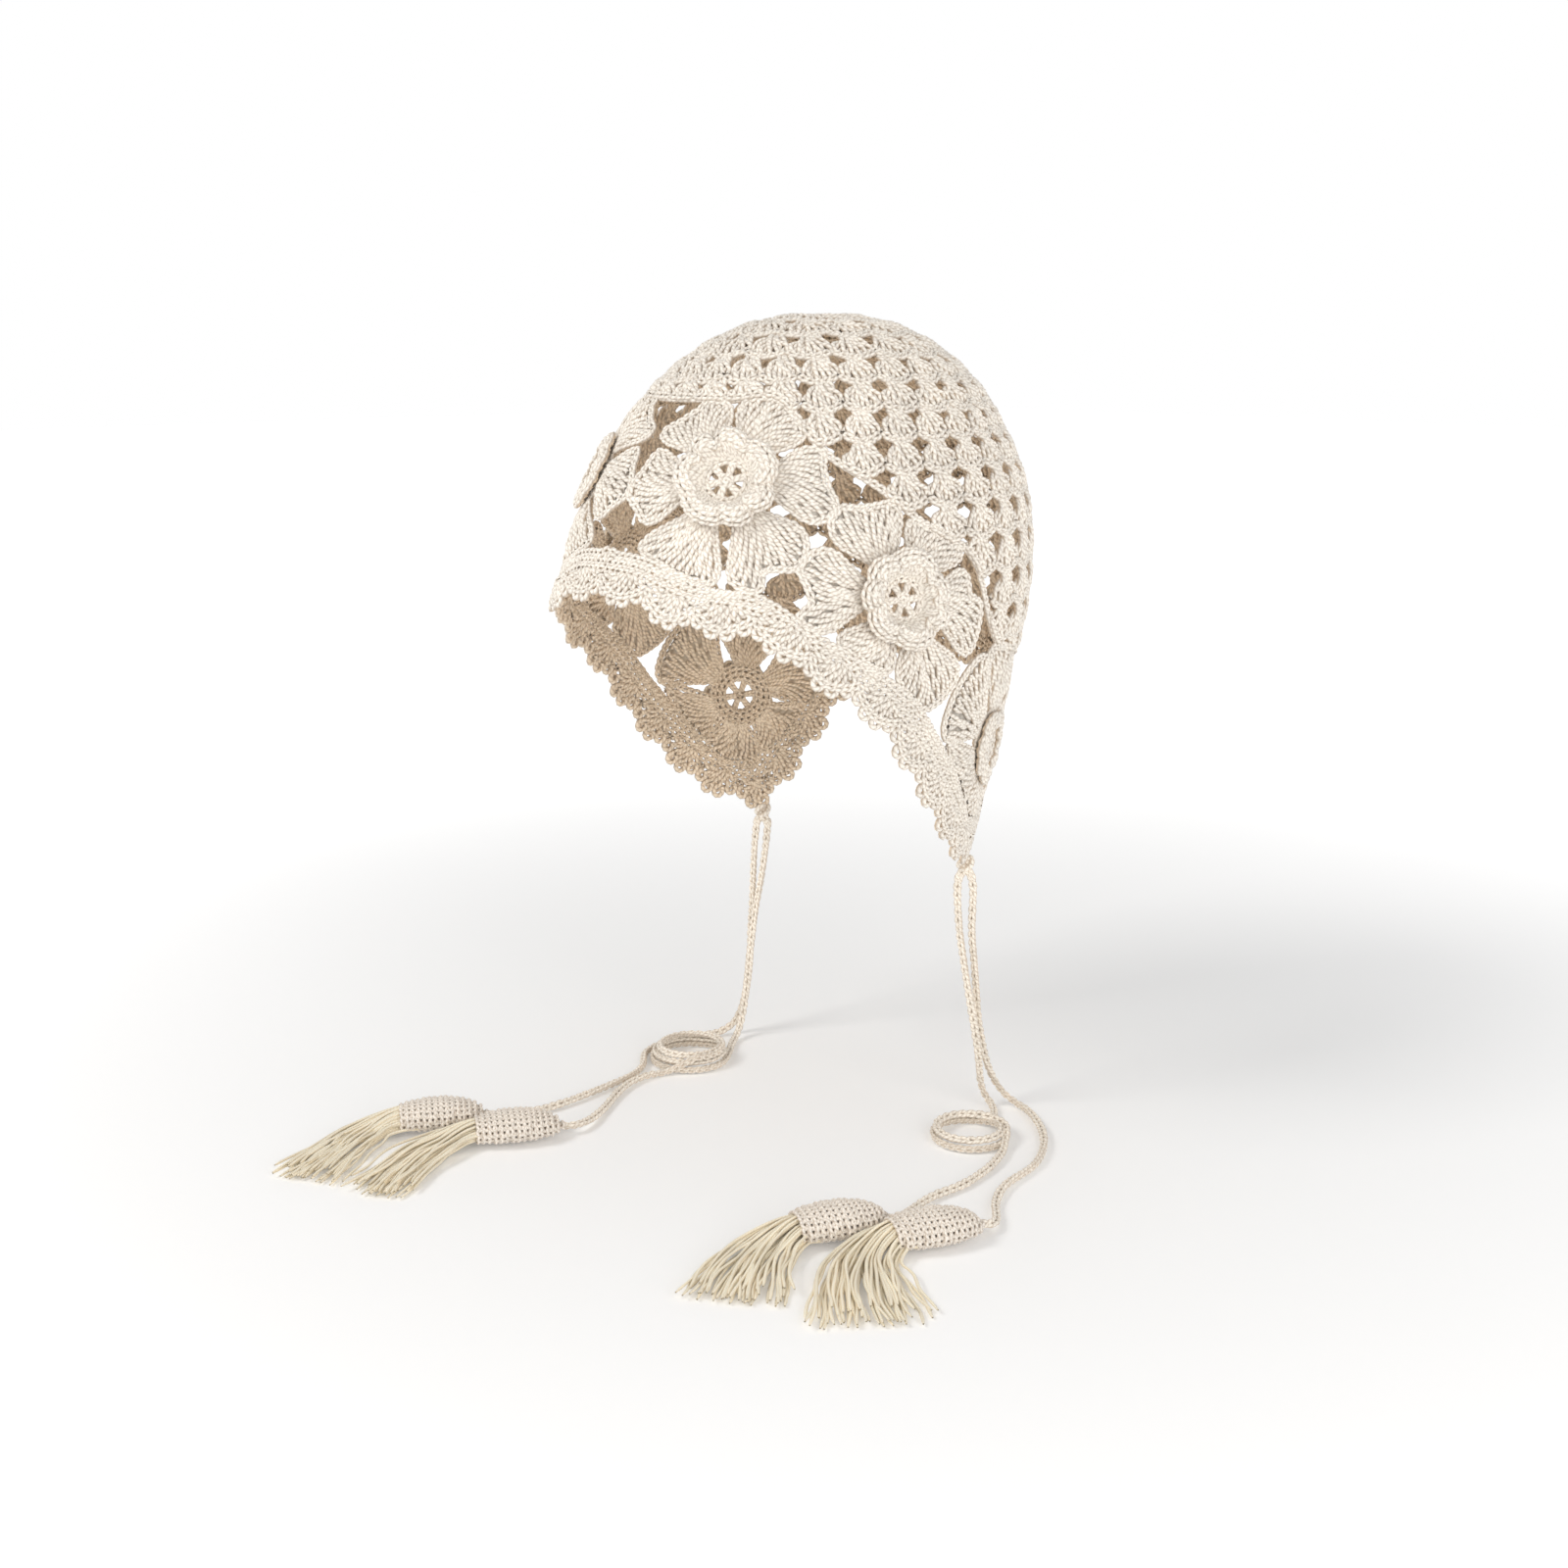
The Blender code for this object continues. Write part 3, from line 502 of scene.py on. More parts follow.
def ropes(start, end, turns, offset, steps, bow=0.0, spread=None):
    """Pairs of strands twisted round each other in a flat patch; spread shapes their fanning.

    start and end have shape (ropes, 2).  Gives along (2 * ropes, steps), distance and height.
    """
    t = np.linspace(0.0, 1.0, steps)[None, :, None]
    line = end - start
    side = unit(np.stack([-line[:, 1], line[:, 0]], axis=-1))
    bow = np.broadcast_to(bow, (len(start),))[:, None, None]
    centre = start[:, None] + line[:, None] * t + side[:, None] * bow * 4 * t * (1 - t)
    if spread is not None:
        centre[..., 0] = start[:, None, 0] + line[:, None, 0] * spread[None]
    phase = RNG.uniform(0, 2 * math.pi, (len(start), 1))
    spin = 2 * math.pi * turns * t[..., 0] + phase
    offset = np.broadcast_to(offset, (len(start), steps))
    places = []
    heights = []
    for half in (0.0, math.pi):
        swing = offset * np.cos(spin + half)
        places.append(centre + side[:, None] * swing[..., None])
        heights.append(ROPE_FLATNESS * offset * np.sin(spin + half))
    places = np.concatenate(places)
    return places[..., 0], places[..., 1], np.concatenate(heights)


# The ties.  Points of the routes are in millimetres; one without a height lies on the table.
LIE = FLOOR * 1000 + CORD * 500 + 0.1
# Columns: centre, radius, turns, where the cord enters and leaves in degrees.
COILS = {
    "left": (83.0, 9.0, 14.6, 2, 53.0, 35.0),
    "right": (-59.5, -18.5, 16.5, 3, 42.0, -35.0),
}
COIL_STEP = 20  # degrees
COIL_CLIMB = (290.0, 70.0)  # where in a turn the cord climbs to the next layer, over how far
COIL_TIGHTENS = 1.3  # by layer
COIL_WANDERS = (0.8, 0.77)  # how far, and how quickly against the turns
COIL_SETTLES = 90.0
HANG = {
    "left_inner": [
        (59.3, 25.5, -218.65), (58.9, 25.2, -226), (59.7, 26.1, -243), (61.4, 27.6, -258),
        (63.2, 28.8, -270), (64.7, 30.9, -284), (64.9, 33.4, -298), (64.3, 35.7, -308),
        (65.2, 37.8, -315.5), (67.5, 39.0, LIE + 0.4), (72.5, 35.2), (77.5, 29.8),
        (81.6, 27.0),
    ],
    "left_outer": [
        (62.8, 28.6, -218.0), (63.4, 29.8, -226), (63.1, 29.9, -243), (63.6, 31.4, -258),
        (63.4, 33.2, -270), (63.1, 35.2, -284), (64.1, 38.0, -298), (66.2, 41.2, -308),
        (69.6, 44.6, -315.5), (74.5, 47.0, LIE + 0.4), (81.0, 45.5), (90.0, 40.6),
    ],
    "right_inner": [
        (-59.4, 29.0, -218.65), (-60.6, 28.4, -232), (-61.5, 26.4, -246), (-62.8, 23.8, -262),
        (-64.3, 21.5, -285), (-65.2, 19.1, -304), (-64.9, 16.0, -315), (-62.7, 11.0, LIE + 0.3),
        (-59.4, 6.4), (-55.6, 2.0),
    ],
    "right_outer": [
        (-63.1, 25.6, -218.0), (-65.0, 25.6, -232), (-66.2, 25.7, -246), (-66.9, 25.4, -262),
        (-67.6, 24.6, -285), (-68.7, 22.3, -304), (-70.6, 18.6, -315), (-73.0, 12.0, LIE + 0.2),
        (-74.4, 5.0), (-75.9, -2.5), (-79.3, -11.3),
    ],
}
TAIL = {
    "left_inner": [
        (101.6, 7.9), (106.0, -0.5), (110.0, -12.0), (112.8, -29.0),
        (112.0, -45.0), (115.0, -60.0, LIE + 0.6), (117.4, -69.8, LIE + 1.8),
        (115.8, -73.3, LIE + 2.4),
    ],
    "left_outer": [
        (102.0, 31.5), (111.4, 20.7), (119.6, 4.6), (123.6, -16.0),
        (131.0, -31.0), (141.0, -42.5, LIE + 0.8), (144.3, -48.8, LIE + 1.8),
        (142.8, -52.3, LIE + 2.4),
    ],
    "right_inner": [
        (-52.7, -37.4), (-55.0, -46.5), (-53.5, -57.0), (-48.0, -69.0),
        (-39.0, -83.0), (-32.0, -95.0, LIE + 0.8), (-29.4, -103.5, LIE + 1.8),
        (-31.1, -109.7, LIE + 2.4),
    ],
    "right_outer": [
        (-80.4, -16.7), (-80.2, -22.1), (-78.5, -27.4), (-75.6, -32.0),
        (-71.5, -35.8), (-65.5, -41.5), (-60.8, -50.0), (-58.2, -62.0),
        (-56.2, -76.0), (-54.8, -90.0), (-55.4, -103.0),
        (-57.4, -113.5, LIE + 0.8), (-59.9, -121.6, LIE + 1.8), (-61.6, -125.7, LIE + 2.4),
    ],
}
# Metres.  Columns: middle of the cap's top, middle of its mouth, fringe's spine, its spread.
TASSELS = {
    "left_inner": ((0.1155, -0.0740), (0.1016, -0.1050),
                   [(0.1015, -0.1200), (0.1095, -0.1370), (0.1205, -0.1520)], 0.0100),
    "left_outer": ((0.1425, -0.0530), (0.1286, -0.0840),
                   [(0.1305, -0.0990), (0.1430, -0.1135), (0.1630, -0.1290)], 0.0130),
    "right_inner": ((-0.0315, -0.1105), (-0.0485, -0.1400),
                    [(-0.0515, -0.1540), (-0.0455, -0.1740), (-0.0330, -0.1970)], 0.0060),
    "right_outer": ((-0.0620, -0.1265), (-0.0797, -0.1555),
                    [(-0.0835, -0.1685), (-0.0775, -0.1870), (-0.0650, -0.2100)], 0.0060),
}
CAP_LENGTH = 0.034
CAP_HALF_WIDTH = 0.0100
CAP_TALL = 0.0062
CORD_IN_CAP = (0.012, 0.022)  # where the cord runs on past the cap's top
# Columns: share of the cap's length, share of its width.
CAP_PROFILE = [
    (0.0, 0.20), (0.05, 0.46), (0.15, 0.74), (0.32, 0.95), (0.5, 1.04), (0.7, 1.03), (0.88, 0.94),
    (1.0, 0.84),
]
CAP_ROUNDS = 15
CAP_STITCH = {"pitch": 0.0026, "width": 0.00105, "lift": 0.00042, "radius": 0.00074, "sides": 4}
CORD_STITCH = {"pitch": 0.0036, "width": 0.00098, "lift": 0.00042, "radius": 0.00084}
SPLINE_STEPS = 24
UP = np.array([0, 0, 1.0])


def smooth_route(points, spacing):
    """A curve through all the points, read at even steps of about the spacing."""
    knots = np.array(points, float)
    padded = np.vstack([2 * knots[0] - knots[1], knots, 2 * knots[-1] - knots[-2]])
    dense = []
    for i in range(len(knots) - 1):
        p0, p1, p2, p3 = padded[i:i + 4]
        for t in np.linspace(0.0, 1.0, SPLINE_STEPS, endpoint=False):
            dense.append(0.5 * (
                2 * p1 + (p2 - p0) * t + (2 * p0 - 5 * p1 + 4 * p2 - p3) * t**2
                + (3 * p1 - p0 - 3 * p2 + p3) * t**3
            ))
    dense.append(knots[-1])
    dense = np.array(dense)
    gone = arc_lengths(dense)
    marks = np.linspace(0.0, gone[-1], max(2, round(gone[-1] / spacing)) + 1)
    return read_path(dense, gone, marks)


def cap_frame(name):
    """Where a cap's top is, the way to its mouth and the way across it."""
    top, mouth, _, _ = TASSELS[name]
    axis = unit(np.array([mouth[0] - top[0], mouth[1] - top[1], 0.0]))
    return np.array([*top, 0.0]), axis, np.array([-axis[1], axis[0], 0.0])


def coil_points(side):
    """The turns of a coil, clockwise from above, each lying on the last."""
    x, y, wide, turns, enter, leave = COILS[side]
    sweep = enter - leave + 360.0 * turns
    steps = int(sweep / COIL_STEP)
    climb, climbing = COIL_CLIMB
    wander, slowness = COIL_WANDERS
    points = []
    for i in range(steps + 1):
        gone = sweep * i / steps
        angle = math.radians(enter - gone)
        full, part = divmod(gone, 360.0)
        layer = min(full + max(0.0, (part - climb) / climbing), turns - 1)
        settled = min(1.0, (sweep - gone) / COIL_SETTLES)
        radius = wide - COIL_TIGHTENS * layer * settled
        radius += wander * math.sin(math.pi * i / steps) * math.sin(math.radians(gone * slowness))
        points.append((x + radius * math.cos(angle), y + radius * math.sin(angle),
                       LIE + CORD * 700 * layer))
    return points


def cord_route(name):
    """The whole cord in metres, down to its end among the strands inside the cap."""
    side, which = name.split("_")
    middle = coil_points(side) if which == "inner" else []
    start, axis, _ = cap_frame(name)
    inside = []
    for depth in CORD_IN_CAP:
        x, y, _ = (start + axis * depth) * 1000
        inside.append((x, y, (FLOOR + CAP_TALL) * 1000))
    route = [(*p, LIE)[:3] for p in HANG[name] + middle + TAIL[name] + inside]
    return smooth_route(route, 1.5) * 0.001


def cord_normals(route):
    """A side for the chain's face to turn to: outwards where it hangs, up where it lies."""
    hanging = np.clip((route[:, 2] - FLOOR - 0.006) / 0.03, 0.0, 1.0)[:, None]
    normals = unit(FACING) * hanging + np.array([0.05, -0.2, 1.0]) * (1 - hanging)
    run = unit(np.gradient(route, axis=0))
    normals = flattened(normals, run)
    side = np.cross(run, normals)
    roll = 0.7 * np.sin(arc_lengths(route) / 0.021)[:, None]
    return unit(normals * np.cos(roll) + side * np.sin(roll))


def lay_cord(name):
    route = cord_route(name)
    yarn = Yarn()
    chain(yarn, route, cord_normals(route), backed=True, **CORD_STITCH)
    return yarn.make("cord_" + name, CORD_COTTON, "cotton"), route


def work_cap(name):
    """Rounds of close stitches round the bell, from the cord to the mouth."""
    start, axis, side_way = cap_frame(name)
    shares, widths = zip(*CAP_PROFILE)
    yarn = Yarn()
    around = np.linspace(0, 2 * math.pi, 49)
    across = np.cos(around)[:, None] * side_way
    upwards = np.sin(around)[:, None] * UP
    for i in range(CAP_ROUNDS):
        share = (i + 0.25) / (CAP_ROUNDS - 0.4)
        wide = float(np.interp(share, shares, widths))
        half = CAP_HALF_WIDTH * wide - 0.0008
        tall = max(0.0008, CAP_TALL * wide - 0.0010)
        lift = FLOOR + 0.0004 + CAP_TALL * (0.55 + 0.45 * wide)
        wobble = 0.0005 * np.sin(3 * around + 2.1 * i)
        ring = (start + axis * (CAP_LENGTH * share) + across * (half + wobble)[:, None]
                + upwards * tall)
        ring[:, 2] += lift
        chain(yarn, ring, unit(across / half + upwards / tall), closed=True, **CAP_STITCH)
    made = yarn.make("cap_crochet_" + name, CAP_COTTON, "cap_cotton")
    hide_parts("cap_" + name)
    return made


LOCKS = (-0.9, 0.5, -0.2, 1.0, -0.6, 0.1, 0.8)  # which way each lock of strands leans
FRINGE_STRANDS = 60
FRINGE_STEPS = 21
FRINGE_YARN = 0.00066
FRINGE_TIP = 0.00036
FRINGE_IN_CAP = CAP_LENGTH * 0.22
SETTLING = 0.018  # from the cap's mouth to where the strands lie


def work_fringe(name):
    """Straight strands that leave the cap's mouth and settle on the floor."""
    _, mouth, spine, spread = TASSELS[name]
    _, axis, _ = cap_frame(name)
    head = np.array(mouth) - axis[:2] * FRINGE_IN_CAP
    route = smooth_route([(*p, 0.0) for p in [head, mouth] + spine], 0.003)
    gone = arc_lengths(route)
    run = unit(np.gradient(route, axis=0))
    side = np.stack([-run[:, 1], run[:, 0], np.zeros(len(run))], axis=1)
    paths = []
    for k in range(FRINGE_STRANDS):
        length = gone[-1] * RNG.uniform(0.84, 1.06)
        marks = np.linspace(0.0, min(length, gone[-1]), FRINGE_STEPS)
        past = np.clip((marks - FRINGE_IN_CAP) / (gone[-1] - FRINGE_IN_CAP), 0, 1)
        lane = -1.0 + 2.0 * (k + 0.5) / FRINGE_STRANDS + RNG.uniform(-0.25, 0.25)
        half = (CAP_HALF_WIDTH - 0.003) * 0.95 + spread * past ** 0.8
        lock = LOCKS[k % len(LOCKS)]
        stray = np.clip(RNG.normal(0, 0.0014), -0.003, 0.003)
        wander = lock * 0.0030 * past**1.2 + stray * past
        wave = 0.0012 * np.sin(lock * 5 + marks / 0.0105) * past
        wave += 0.0006 * np.sin(RNG.uniform(0, 6.28) + marks / RNG.uniform(0.004, 0.007))
        offset = lane * half + wander + wave * np.clip(past * 3, 0, 1)
        layer = RNG.uniform(0.0, 1.0)
        inner = FLOOR + 0.0030 + 0.0076 * layer * (1 - 0.5 * lane * lane)
        rest = FLOOR + 0.0007 + 0.0046 * layer * (1 - 0.6 * past)
        rest = rest + 0.0010 * layer * np.abs(np.sin(marks / 0.011 + 9 * layer))
        settle = np.clip((marks - FRINGE_IN_CAP) / SETTLING, 0, 1)
        settle = settle * settle * (3 - 2 * settle)
        path = read_path(route, gone, marks) + read_path(side, gone, marks) * offset[:, None]
        path[:, 2] = inner * (1 - settle) + rest * settle
        paths.append(path)
    radius = np.full(FRINGE_STEPS, FRINGE_YARN)
    radius[-1] = FRINGE_TIP
    yarn = Yarn()
    yarn.add(paths, np.broadcast_to(UP, np.shape(paths)), radius[None], 4)
    made = yarn.make("fringe_strands_" + name, FRINGE_COTTON, "fringe_cotton")
    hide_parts("fringe_" + name)
    return made


for cord_name in HANG:
    cord_piece, cord_path = lay_cord(cord_name)
    cap_piece = work_cap(cord_name)
    fringe_piece = work_fringe(cord_name)
    solids = ["hang_" + cord_name, "tail_" + cord_name]
    if cord_name.endswith("inner"):
        solids.append("coil_" + cord_name.split("_")[0])
    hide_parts(*solids)


KNOT_YARN = 0.00105
KNOT_LEG_YARN = 0.00095
KNOT_GRIP = 2  # point of a cord's route that the knot's strands reach


def work_knot(side):
    """The knot at a flap's tip: a strand doubled round itself, and two legs to each cord."""
    low, high = (np.array(corner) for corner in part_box("knot_" + side))
    centre = (low + high) / 2
    size = (high[2] - low[2]) / 2
    t = np.linspace(0, 2 * math.pi, 61)
    ring = size * 0.44 * (2 + np.cos(3 * t)) / 2
    yarn = Yarn()
    for lift, spin in ((0.0, 0.0), (0.0004, 0.5)):
        path = np.stack([
            ring * np.cos(2 * t + spin) * 1.05,
            ring * np.sin(2 * t + spin) * 1.05,
            size * 0.52 * np.sin(3 * t),
        ], axis=1) + centre
        path[:, 2] += lift
        yarn.add(path[None], unit(path - centre)[None], KNOT_YARN, 6)
    t = np.linspace(0, 1, 7)[:, None]
    for which in ("inner", "outer"):
        route = cord_route(side + "_" + which)
        for swing in (-0.0007, 0.0007):
            path = centre * (1 - t) + route[KNOT_GRIP] * t
            path = path + np.array([swing, swing, 0.0]) * np.sin(math.pi * t)
            yarn.add(path[None], np.broadcast_to(FACING, (1, *path.shape)), KNOT_LEG_YARN)
    made = yarn.make("knot_yarn_" + side, CORD_COTTON, "cotton")
    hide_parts("knot_" + side)


for knot_side in ("left", "right"):
    work_knot(knot_side)


# The crown.  Columns: reach of a round's holes, fans in the round.
ROUNDS = [
    (0.0140, 6), (0.0275, 12), (0.0415, 18), (0.0550, 25), (0.0680, 28), (0.0805, 32),
    (0.0925, 32), (0.1050, 32), (0.1180, 32), (0.1310, 32), (0.1450, 32), (0.1590, 32),
    (0.1730, 32),
]
TOP_ROUNDS = 6  # rounds that belong to the crown's top piece
HOLE_PHASE = {32: 2.8, 28: 46.6, 25: 0.6, 18: 36.0, 12: 23.5, 6: 23.5}
HOLE_RISE = 0.0055  # from the middle of a round's holes up to its fans' feet
LAST_ROUND = 0.014
FAN_POSTS = 6
FAN_STEPS = 9
FAN_FOOT = 0.0022  # half the width of a fan's foot
FAN_DIP = 0.0030  # how much a fan's edge rises towards its sides
FAN_SWELL = 0.0010
# Columns: share of a post's length, share of its way sideways.
FAN_SPREAD = [(0.0, 0.0), (0.2, 0.04), (0.45, 0.15), (0.6, 0.56), (0.72, 0.88), (1.0, 1.0)]


def crown_place(turn, sideways, reach, height):
    """World points and normals for metres sideways of a turn."""
    here = turn + np.degrees(sideways / np.maximum(level_radius(turn, reach), 0.002))
    normal = outward(here, reach)
    return on_fabric(here, reach) + normal * np.asarray(height)[..., None], normal


def work_fan(yarn, turn, base, tip, fans):
    """Posts that spread from one foot, the dark sheet of painted shade behind them and the chain on
    their tips.
    """
    limit = float(crown_reach(turn))
    metres = float(level_radius(turn, min(tip, limit)))
    pitch = metres * 2 * math.pi / fans

    def limit_at(sideways):
        return crown_reach(turn + np.degrees(sideways / metres))

    lanes = np.linspace(-1, 1, FAN_POSTS)
    jitter = RNG.uniform(-0.00035, 0.00035, FAN_POSTS)
    foot = FAN_FOOT * min(1.0, pitch / 0.0165)
    start = np.stack([lanes * foot, base - 0.0014 - 0.0008 * lanes**2], axis=1)
    ends = tip - 0.0012 - FAN_DIP * lanes**2
    sideways = lanes * (pitch / 2 - 0.0015) + jitter
    ends = np.minimum(ends, limit_at(sideways) - 0.0012)
    keep = ends > base + 0.002
    start = start[keep]
    end = np.stack([sideways, ends], axis=1)[keep]
    if not len(start):
        return
    t = np.linspace(0, 1, FAN_STEPS)
    spread = np.interp(t, *zip(*FAN_SPREAD))
    offset = np.interp(t, [0, 0.3, 1], [0.0005, 0.0009, 0.0011])
    across, down, heights = ropes(start, end, 1.2, offset[None], FAN_STEPS, spread=spread)
    swell = FAN_SWELL * np.sin(t * math.pi)[None]
    yarn.add(*crown_place(turn, across, down, heights + swell), POST_YARN)
    if len(start) > 2:
        line = (end - start)[:, None]
        across = start[:, None, 0] + line[..., 0] * spread[None]
        down = start[:, None, 1] + line[..., 1] * t[None]
        # The sheet is painted shade, dark in the gaps between the posts.
        yarn.sheet(*crown_place(turn, across, down, np.zeros(across.shape)), GAP_SHADE_TINT)
    sweep = np.linspace(-1, 1, 15)
    sideways = sweep * (pitch / 2 - 0.0010)
    edge = np.minimum(tip - 0.0004 - FAN_DIP * sweep**2, limit_at(sideways) - 0.0010)
    inside = edge > base + 0.0025
    if inside.sum() > 4:
        world, normal = crown_place(turn, sideways[inside], edge[inside], 0.0007)
        chain(yarn, world, normal, pitch=0.0033, width=0.00105, lift=0.0006, radius=POST_YARN,
              sides=4)


def work_crown():
    pieces = {"top": Yarn(), "left": Yarn(), "right": Yarn()}
    for k, (hole, fans) in enumerate(ROUNDS):
        base = hole - HOLE_RISE
        tip = (ROUNDS[k + 1][0] if k + 1 < len(ROUNDS) else hole + LAST_ROUND) - HOLE_RISE
        for j in range(fans):
            turn = swing_of(HOLE_PHASE[fans] + (j + 0.5) * 360.0 / fans)
            if base <= float(crown_reach(turn)) - 0.003:
                name = "top" if k < TOP_ROUNDS else "left" if turn > 0 else "right"
                work_fan(pieces[name], turn, base, tip, fans)
    ring = np.linspace(-180, 180, 41)
    world, normal = crown_place(ring, np.zeros(41), np.full(41, 0.0042), np.zeros(41))
    chain(pieces["top"], world, normal, closed=True)
    low = np.arange(-180.0, 180.5, 2.0)
    for name, turns in (("left", low[low >= 0]), ("right", low[low <= 0])):
        reach = crown_reach(turns)
        chain(pieces[name], on_fabric(turns, reach - SEAM), outward(turns, reach),
              pitch=0.0032, width=0.0010)
    for name, yarn in pieces.items():
        made = yarn.make("crown_crochet_" + name, COTTON, "cotton")
        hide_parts("crown")


work_crown()


# The flowers.
FLOWER_PLACES = {name: (turn, share * SIDE_REACH) for name, turn, share, _ in FLOWERS}
FLOWER_CENTRES = {name: on_fabric(*place) for name, place in FLOWER_PLACES.items()}
HEADINGS = 120
CONTACT_SWING = 18.0  # degrees either side of the way to a neighbour
CONTACT_WIDTH = 9.0
EDGE_REACH = 0.046  # petals this near the band reach it
ARCH_REACH = 0.039  # and petals this near the arch
FLAP_SIDE = 0.062  # a petal's tip this near the flap's flower grows towards it
SHORTEST_PETAL = 0.020


def flower_patch(name):
    turn, reach = FLOWER_PLACES[name]
    level = unit(one_degree(turn, reach))
    up = np.cross(outward(turn, reach), level)
    heading = 2 * math.pi * np.arange(HEADINGS) / HEADINGS
    steps = np.cos(heading)[:, None] * level + np.sin(heading)[:, None] * up
    turns = np.full(HEADINGS, float(turn))
    reaches = np.full(HEADINGS, float(reach))
    return Patch(turns, reaches, steps, 0.0015, HEADINGS / 360.0)


def petal_limits(name, patch):
    """How far a petal reaches on each heading: to its neighbours' corners, the arch or the band."""
    own = np.linalg.norm(patch.points - FLOWER_CENTRES[name], axis=-1)
    heading = 360.0 * np.arange(HEADINGS) / HEADINGS
    clear = np.ones(own.shape, bool)
    corner = np.zeros(HEADINGS)
    corner_row = int(PETAL_CORNER_REACH / patch.stride)
    for other, place in FLOWER_CENTRES.items():
        if other == name:
            continue
        away = np.linalg.norm(patch.points - place, axis=-1)
        clear &= away > own
        if away[corner_row].min() < PETAL_CORNER_REACH * 1.35:
            towards = heading[np.argmin(away[corner_row])]
            for contact in (towards - CONTACT_SWING, towards + CONTACT_SWING):
                swing = swing_of(heading - contact)
                corner = np.maximum(corner, np.exp(-(swing / CONTACT_WIDTH) ** 2))
    above = patch.reaches < band_reach(patch.turns) - 0.0004
    below_arch = patch.reaches > crown_reach(patch.turns)
    near_band = ~above[int(EDGE_REACH / patch.stride)]
    near_arch = ~below_arch[int(ARCH_REACH / patch.stride)]
    corner = np.where(near_band | near_arch, 1.4, corner)
    if name.startswith("flap"):
        corner = np.maximum(corner, 1.2)
    if name.startswith("temple"):
        flap = FLOWER_CENTRES[name.replace("temple", "flap")]
        away = np.linalg.norm(patch.points[corner_row] - flap, axis=-1)
        corner = np.where(away < FLAP_SIDE, 1.2, corner)
    clear &= below_arch & above
    rows = np.argmin(clear, axis=0)
    rows[clear.all(axis=0)] = clear.shape[0]
    reach = (rows - 0.5) * patch.stride
    wanted = PETAL_REACH + (PETAL_CORNER_REACH - PETAL_REACH) * corner
    return np.clip(np.minimum(reach, wanted), SHORTEST_PETAL, None)


PETAL_POSTS = 11
PETAL_STEPS = 13
PETAL_FOOT = 0.0128
FLAP_FULLNESS = 1.13  # the flaps' petals lie closer to each other
# Columns: swing from the petal's middle in degrees, share of the petal's reach.
PETAL_EDGE = [
    (-16, 0.40), (-20, 0.52), (-24, 0.66), (-26.5, 0.80), (-25.5, 0.92), (-20, 0.99), (-8, 1.0),
    (8, 1.0), (20, 0.99), (25.5, 0.92), (26.5, 0.80), (24, 0.66), (20, 0.52), (16, 0.40),
]
HEART_ROUNDS = ((0.0130, -0.0002), (0.0108, 0.0), (0.0084, 0.0002))  # radius, height


def work_flower(name, first_petal):
    patch = flower_patch(name)
    limits = petal_limits(name, patch)
    yarn = Yarn()

    def limit_at(angle):
        column = np.mod(angle * patch.per, HEADINGS)
        low = np.floor(column).astype(int) % HEADINGS
        part = column - np.floor(column)
        return limits[low] * (1 - part) + limits[(low + 1) % HEADINGS] * part

    fuller = FLAP_FULLNESS if name.startswith("flap") else 1.0
    lanes = np.linspace(-1, 1, PETAL_POSTS)
    t = np.linspace(0, 1, PETAL_STEPS)
    offset = np.interp(t, [0, 0.35, 1.0], [0.0003, 0.0008, 0.0011])
    swell = 0.0012 * np.sin(t * math.pi)[None]
    edge_swing, edge_share = np.array(PETAL_EDGE).T
    fine = np.linspace(0, len(PETAL_EDGE) - 1, 49)
    edge_swing = np.interp(fine, np.arange(len(PETAL_EDGE)), edge_swing) * fuller
    edge_share = np.interp(fine, np.arange(len(PETAL_EDGE)), edge_share)
    for petal in range(PETALS):
        middle = first_petal + 360.0 * petal / PETALS
        swings = middle + lanes * 24.0 * fuller + RNG.uniform(-0.6, 0.6, PETAL_POSTS)
        tops = limit_at(swings) * (0.985 - 0.030 * np.abs(lanes) ** 4) - 0.0014
        tops += RNG.uniform(-0.0004, 0.0004, PETAL_POSTS)
        swings = np.radians(swings)
        rooted = np.radians(middle + lanes * 15.0 * fuller)
        start = np.stack([PETAL_FOOT * np.cos(rooted), PETAL_FOOT * np.sin(rooted)], axis=1)
        end = np.stack([tops * np.cos(swings), tops * np.sin(swings)], axis=1)
        x, y, heights = ropes(start, end, 1.9, offset[None], PETAL_STEPS,
                              bow=RNG.normal(0, 0.0006, PETAL_POSTS) - lanes * 0.0012)
        world, normal = patch.at(np.degrees(np.arctan2(y, x)), np.hypot(x, y), heights + swell)
        yarn.add(world, normal, np.interp(t, [0, 0.4, 1], [YARN, POST_YARN, POST_YARN]))
        lean = middle + np.linspace(-1, 1, 11)[:, None] * (15.0 + 9.5 * t[None]) * fuller
        far = limit_at(lean[:, -1]) - 0.0020
        out = PETAL_FOOT + (far - PETAL_FOOT)[:, None] * t[None]
        # The sheet is painted shade, dark in the gaps between the petal's posts.
        yarn.sheet(*patch.at(lean, out, 0.6 * swell), GAP_SHADE_TINT)
        nearest, edge = limit_at(middle + edge_swing * 0.8), limit_at(middle + edge_swing)
        distance = np.minimum(edge_share * (edge * 0.5 + nearest * 0.5), edge) - 0.0004
        chain(yarn, *patch.at(middle + edge_swing, distance, 0.0002), width=0.00090, lift=0.0004)
    around = np.linspace(0, 360, 61)
    for radius, height in HEART_ROUNDS:
        chain(yarn, *patch.at(around, radius, height), width=0.0010, closed=True)
    made = yarn.make("petals_" + name, COTTON, "cotton")
    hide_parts("flower_" + name)
    work_rosette(name, patch, first_petal)


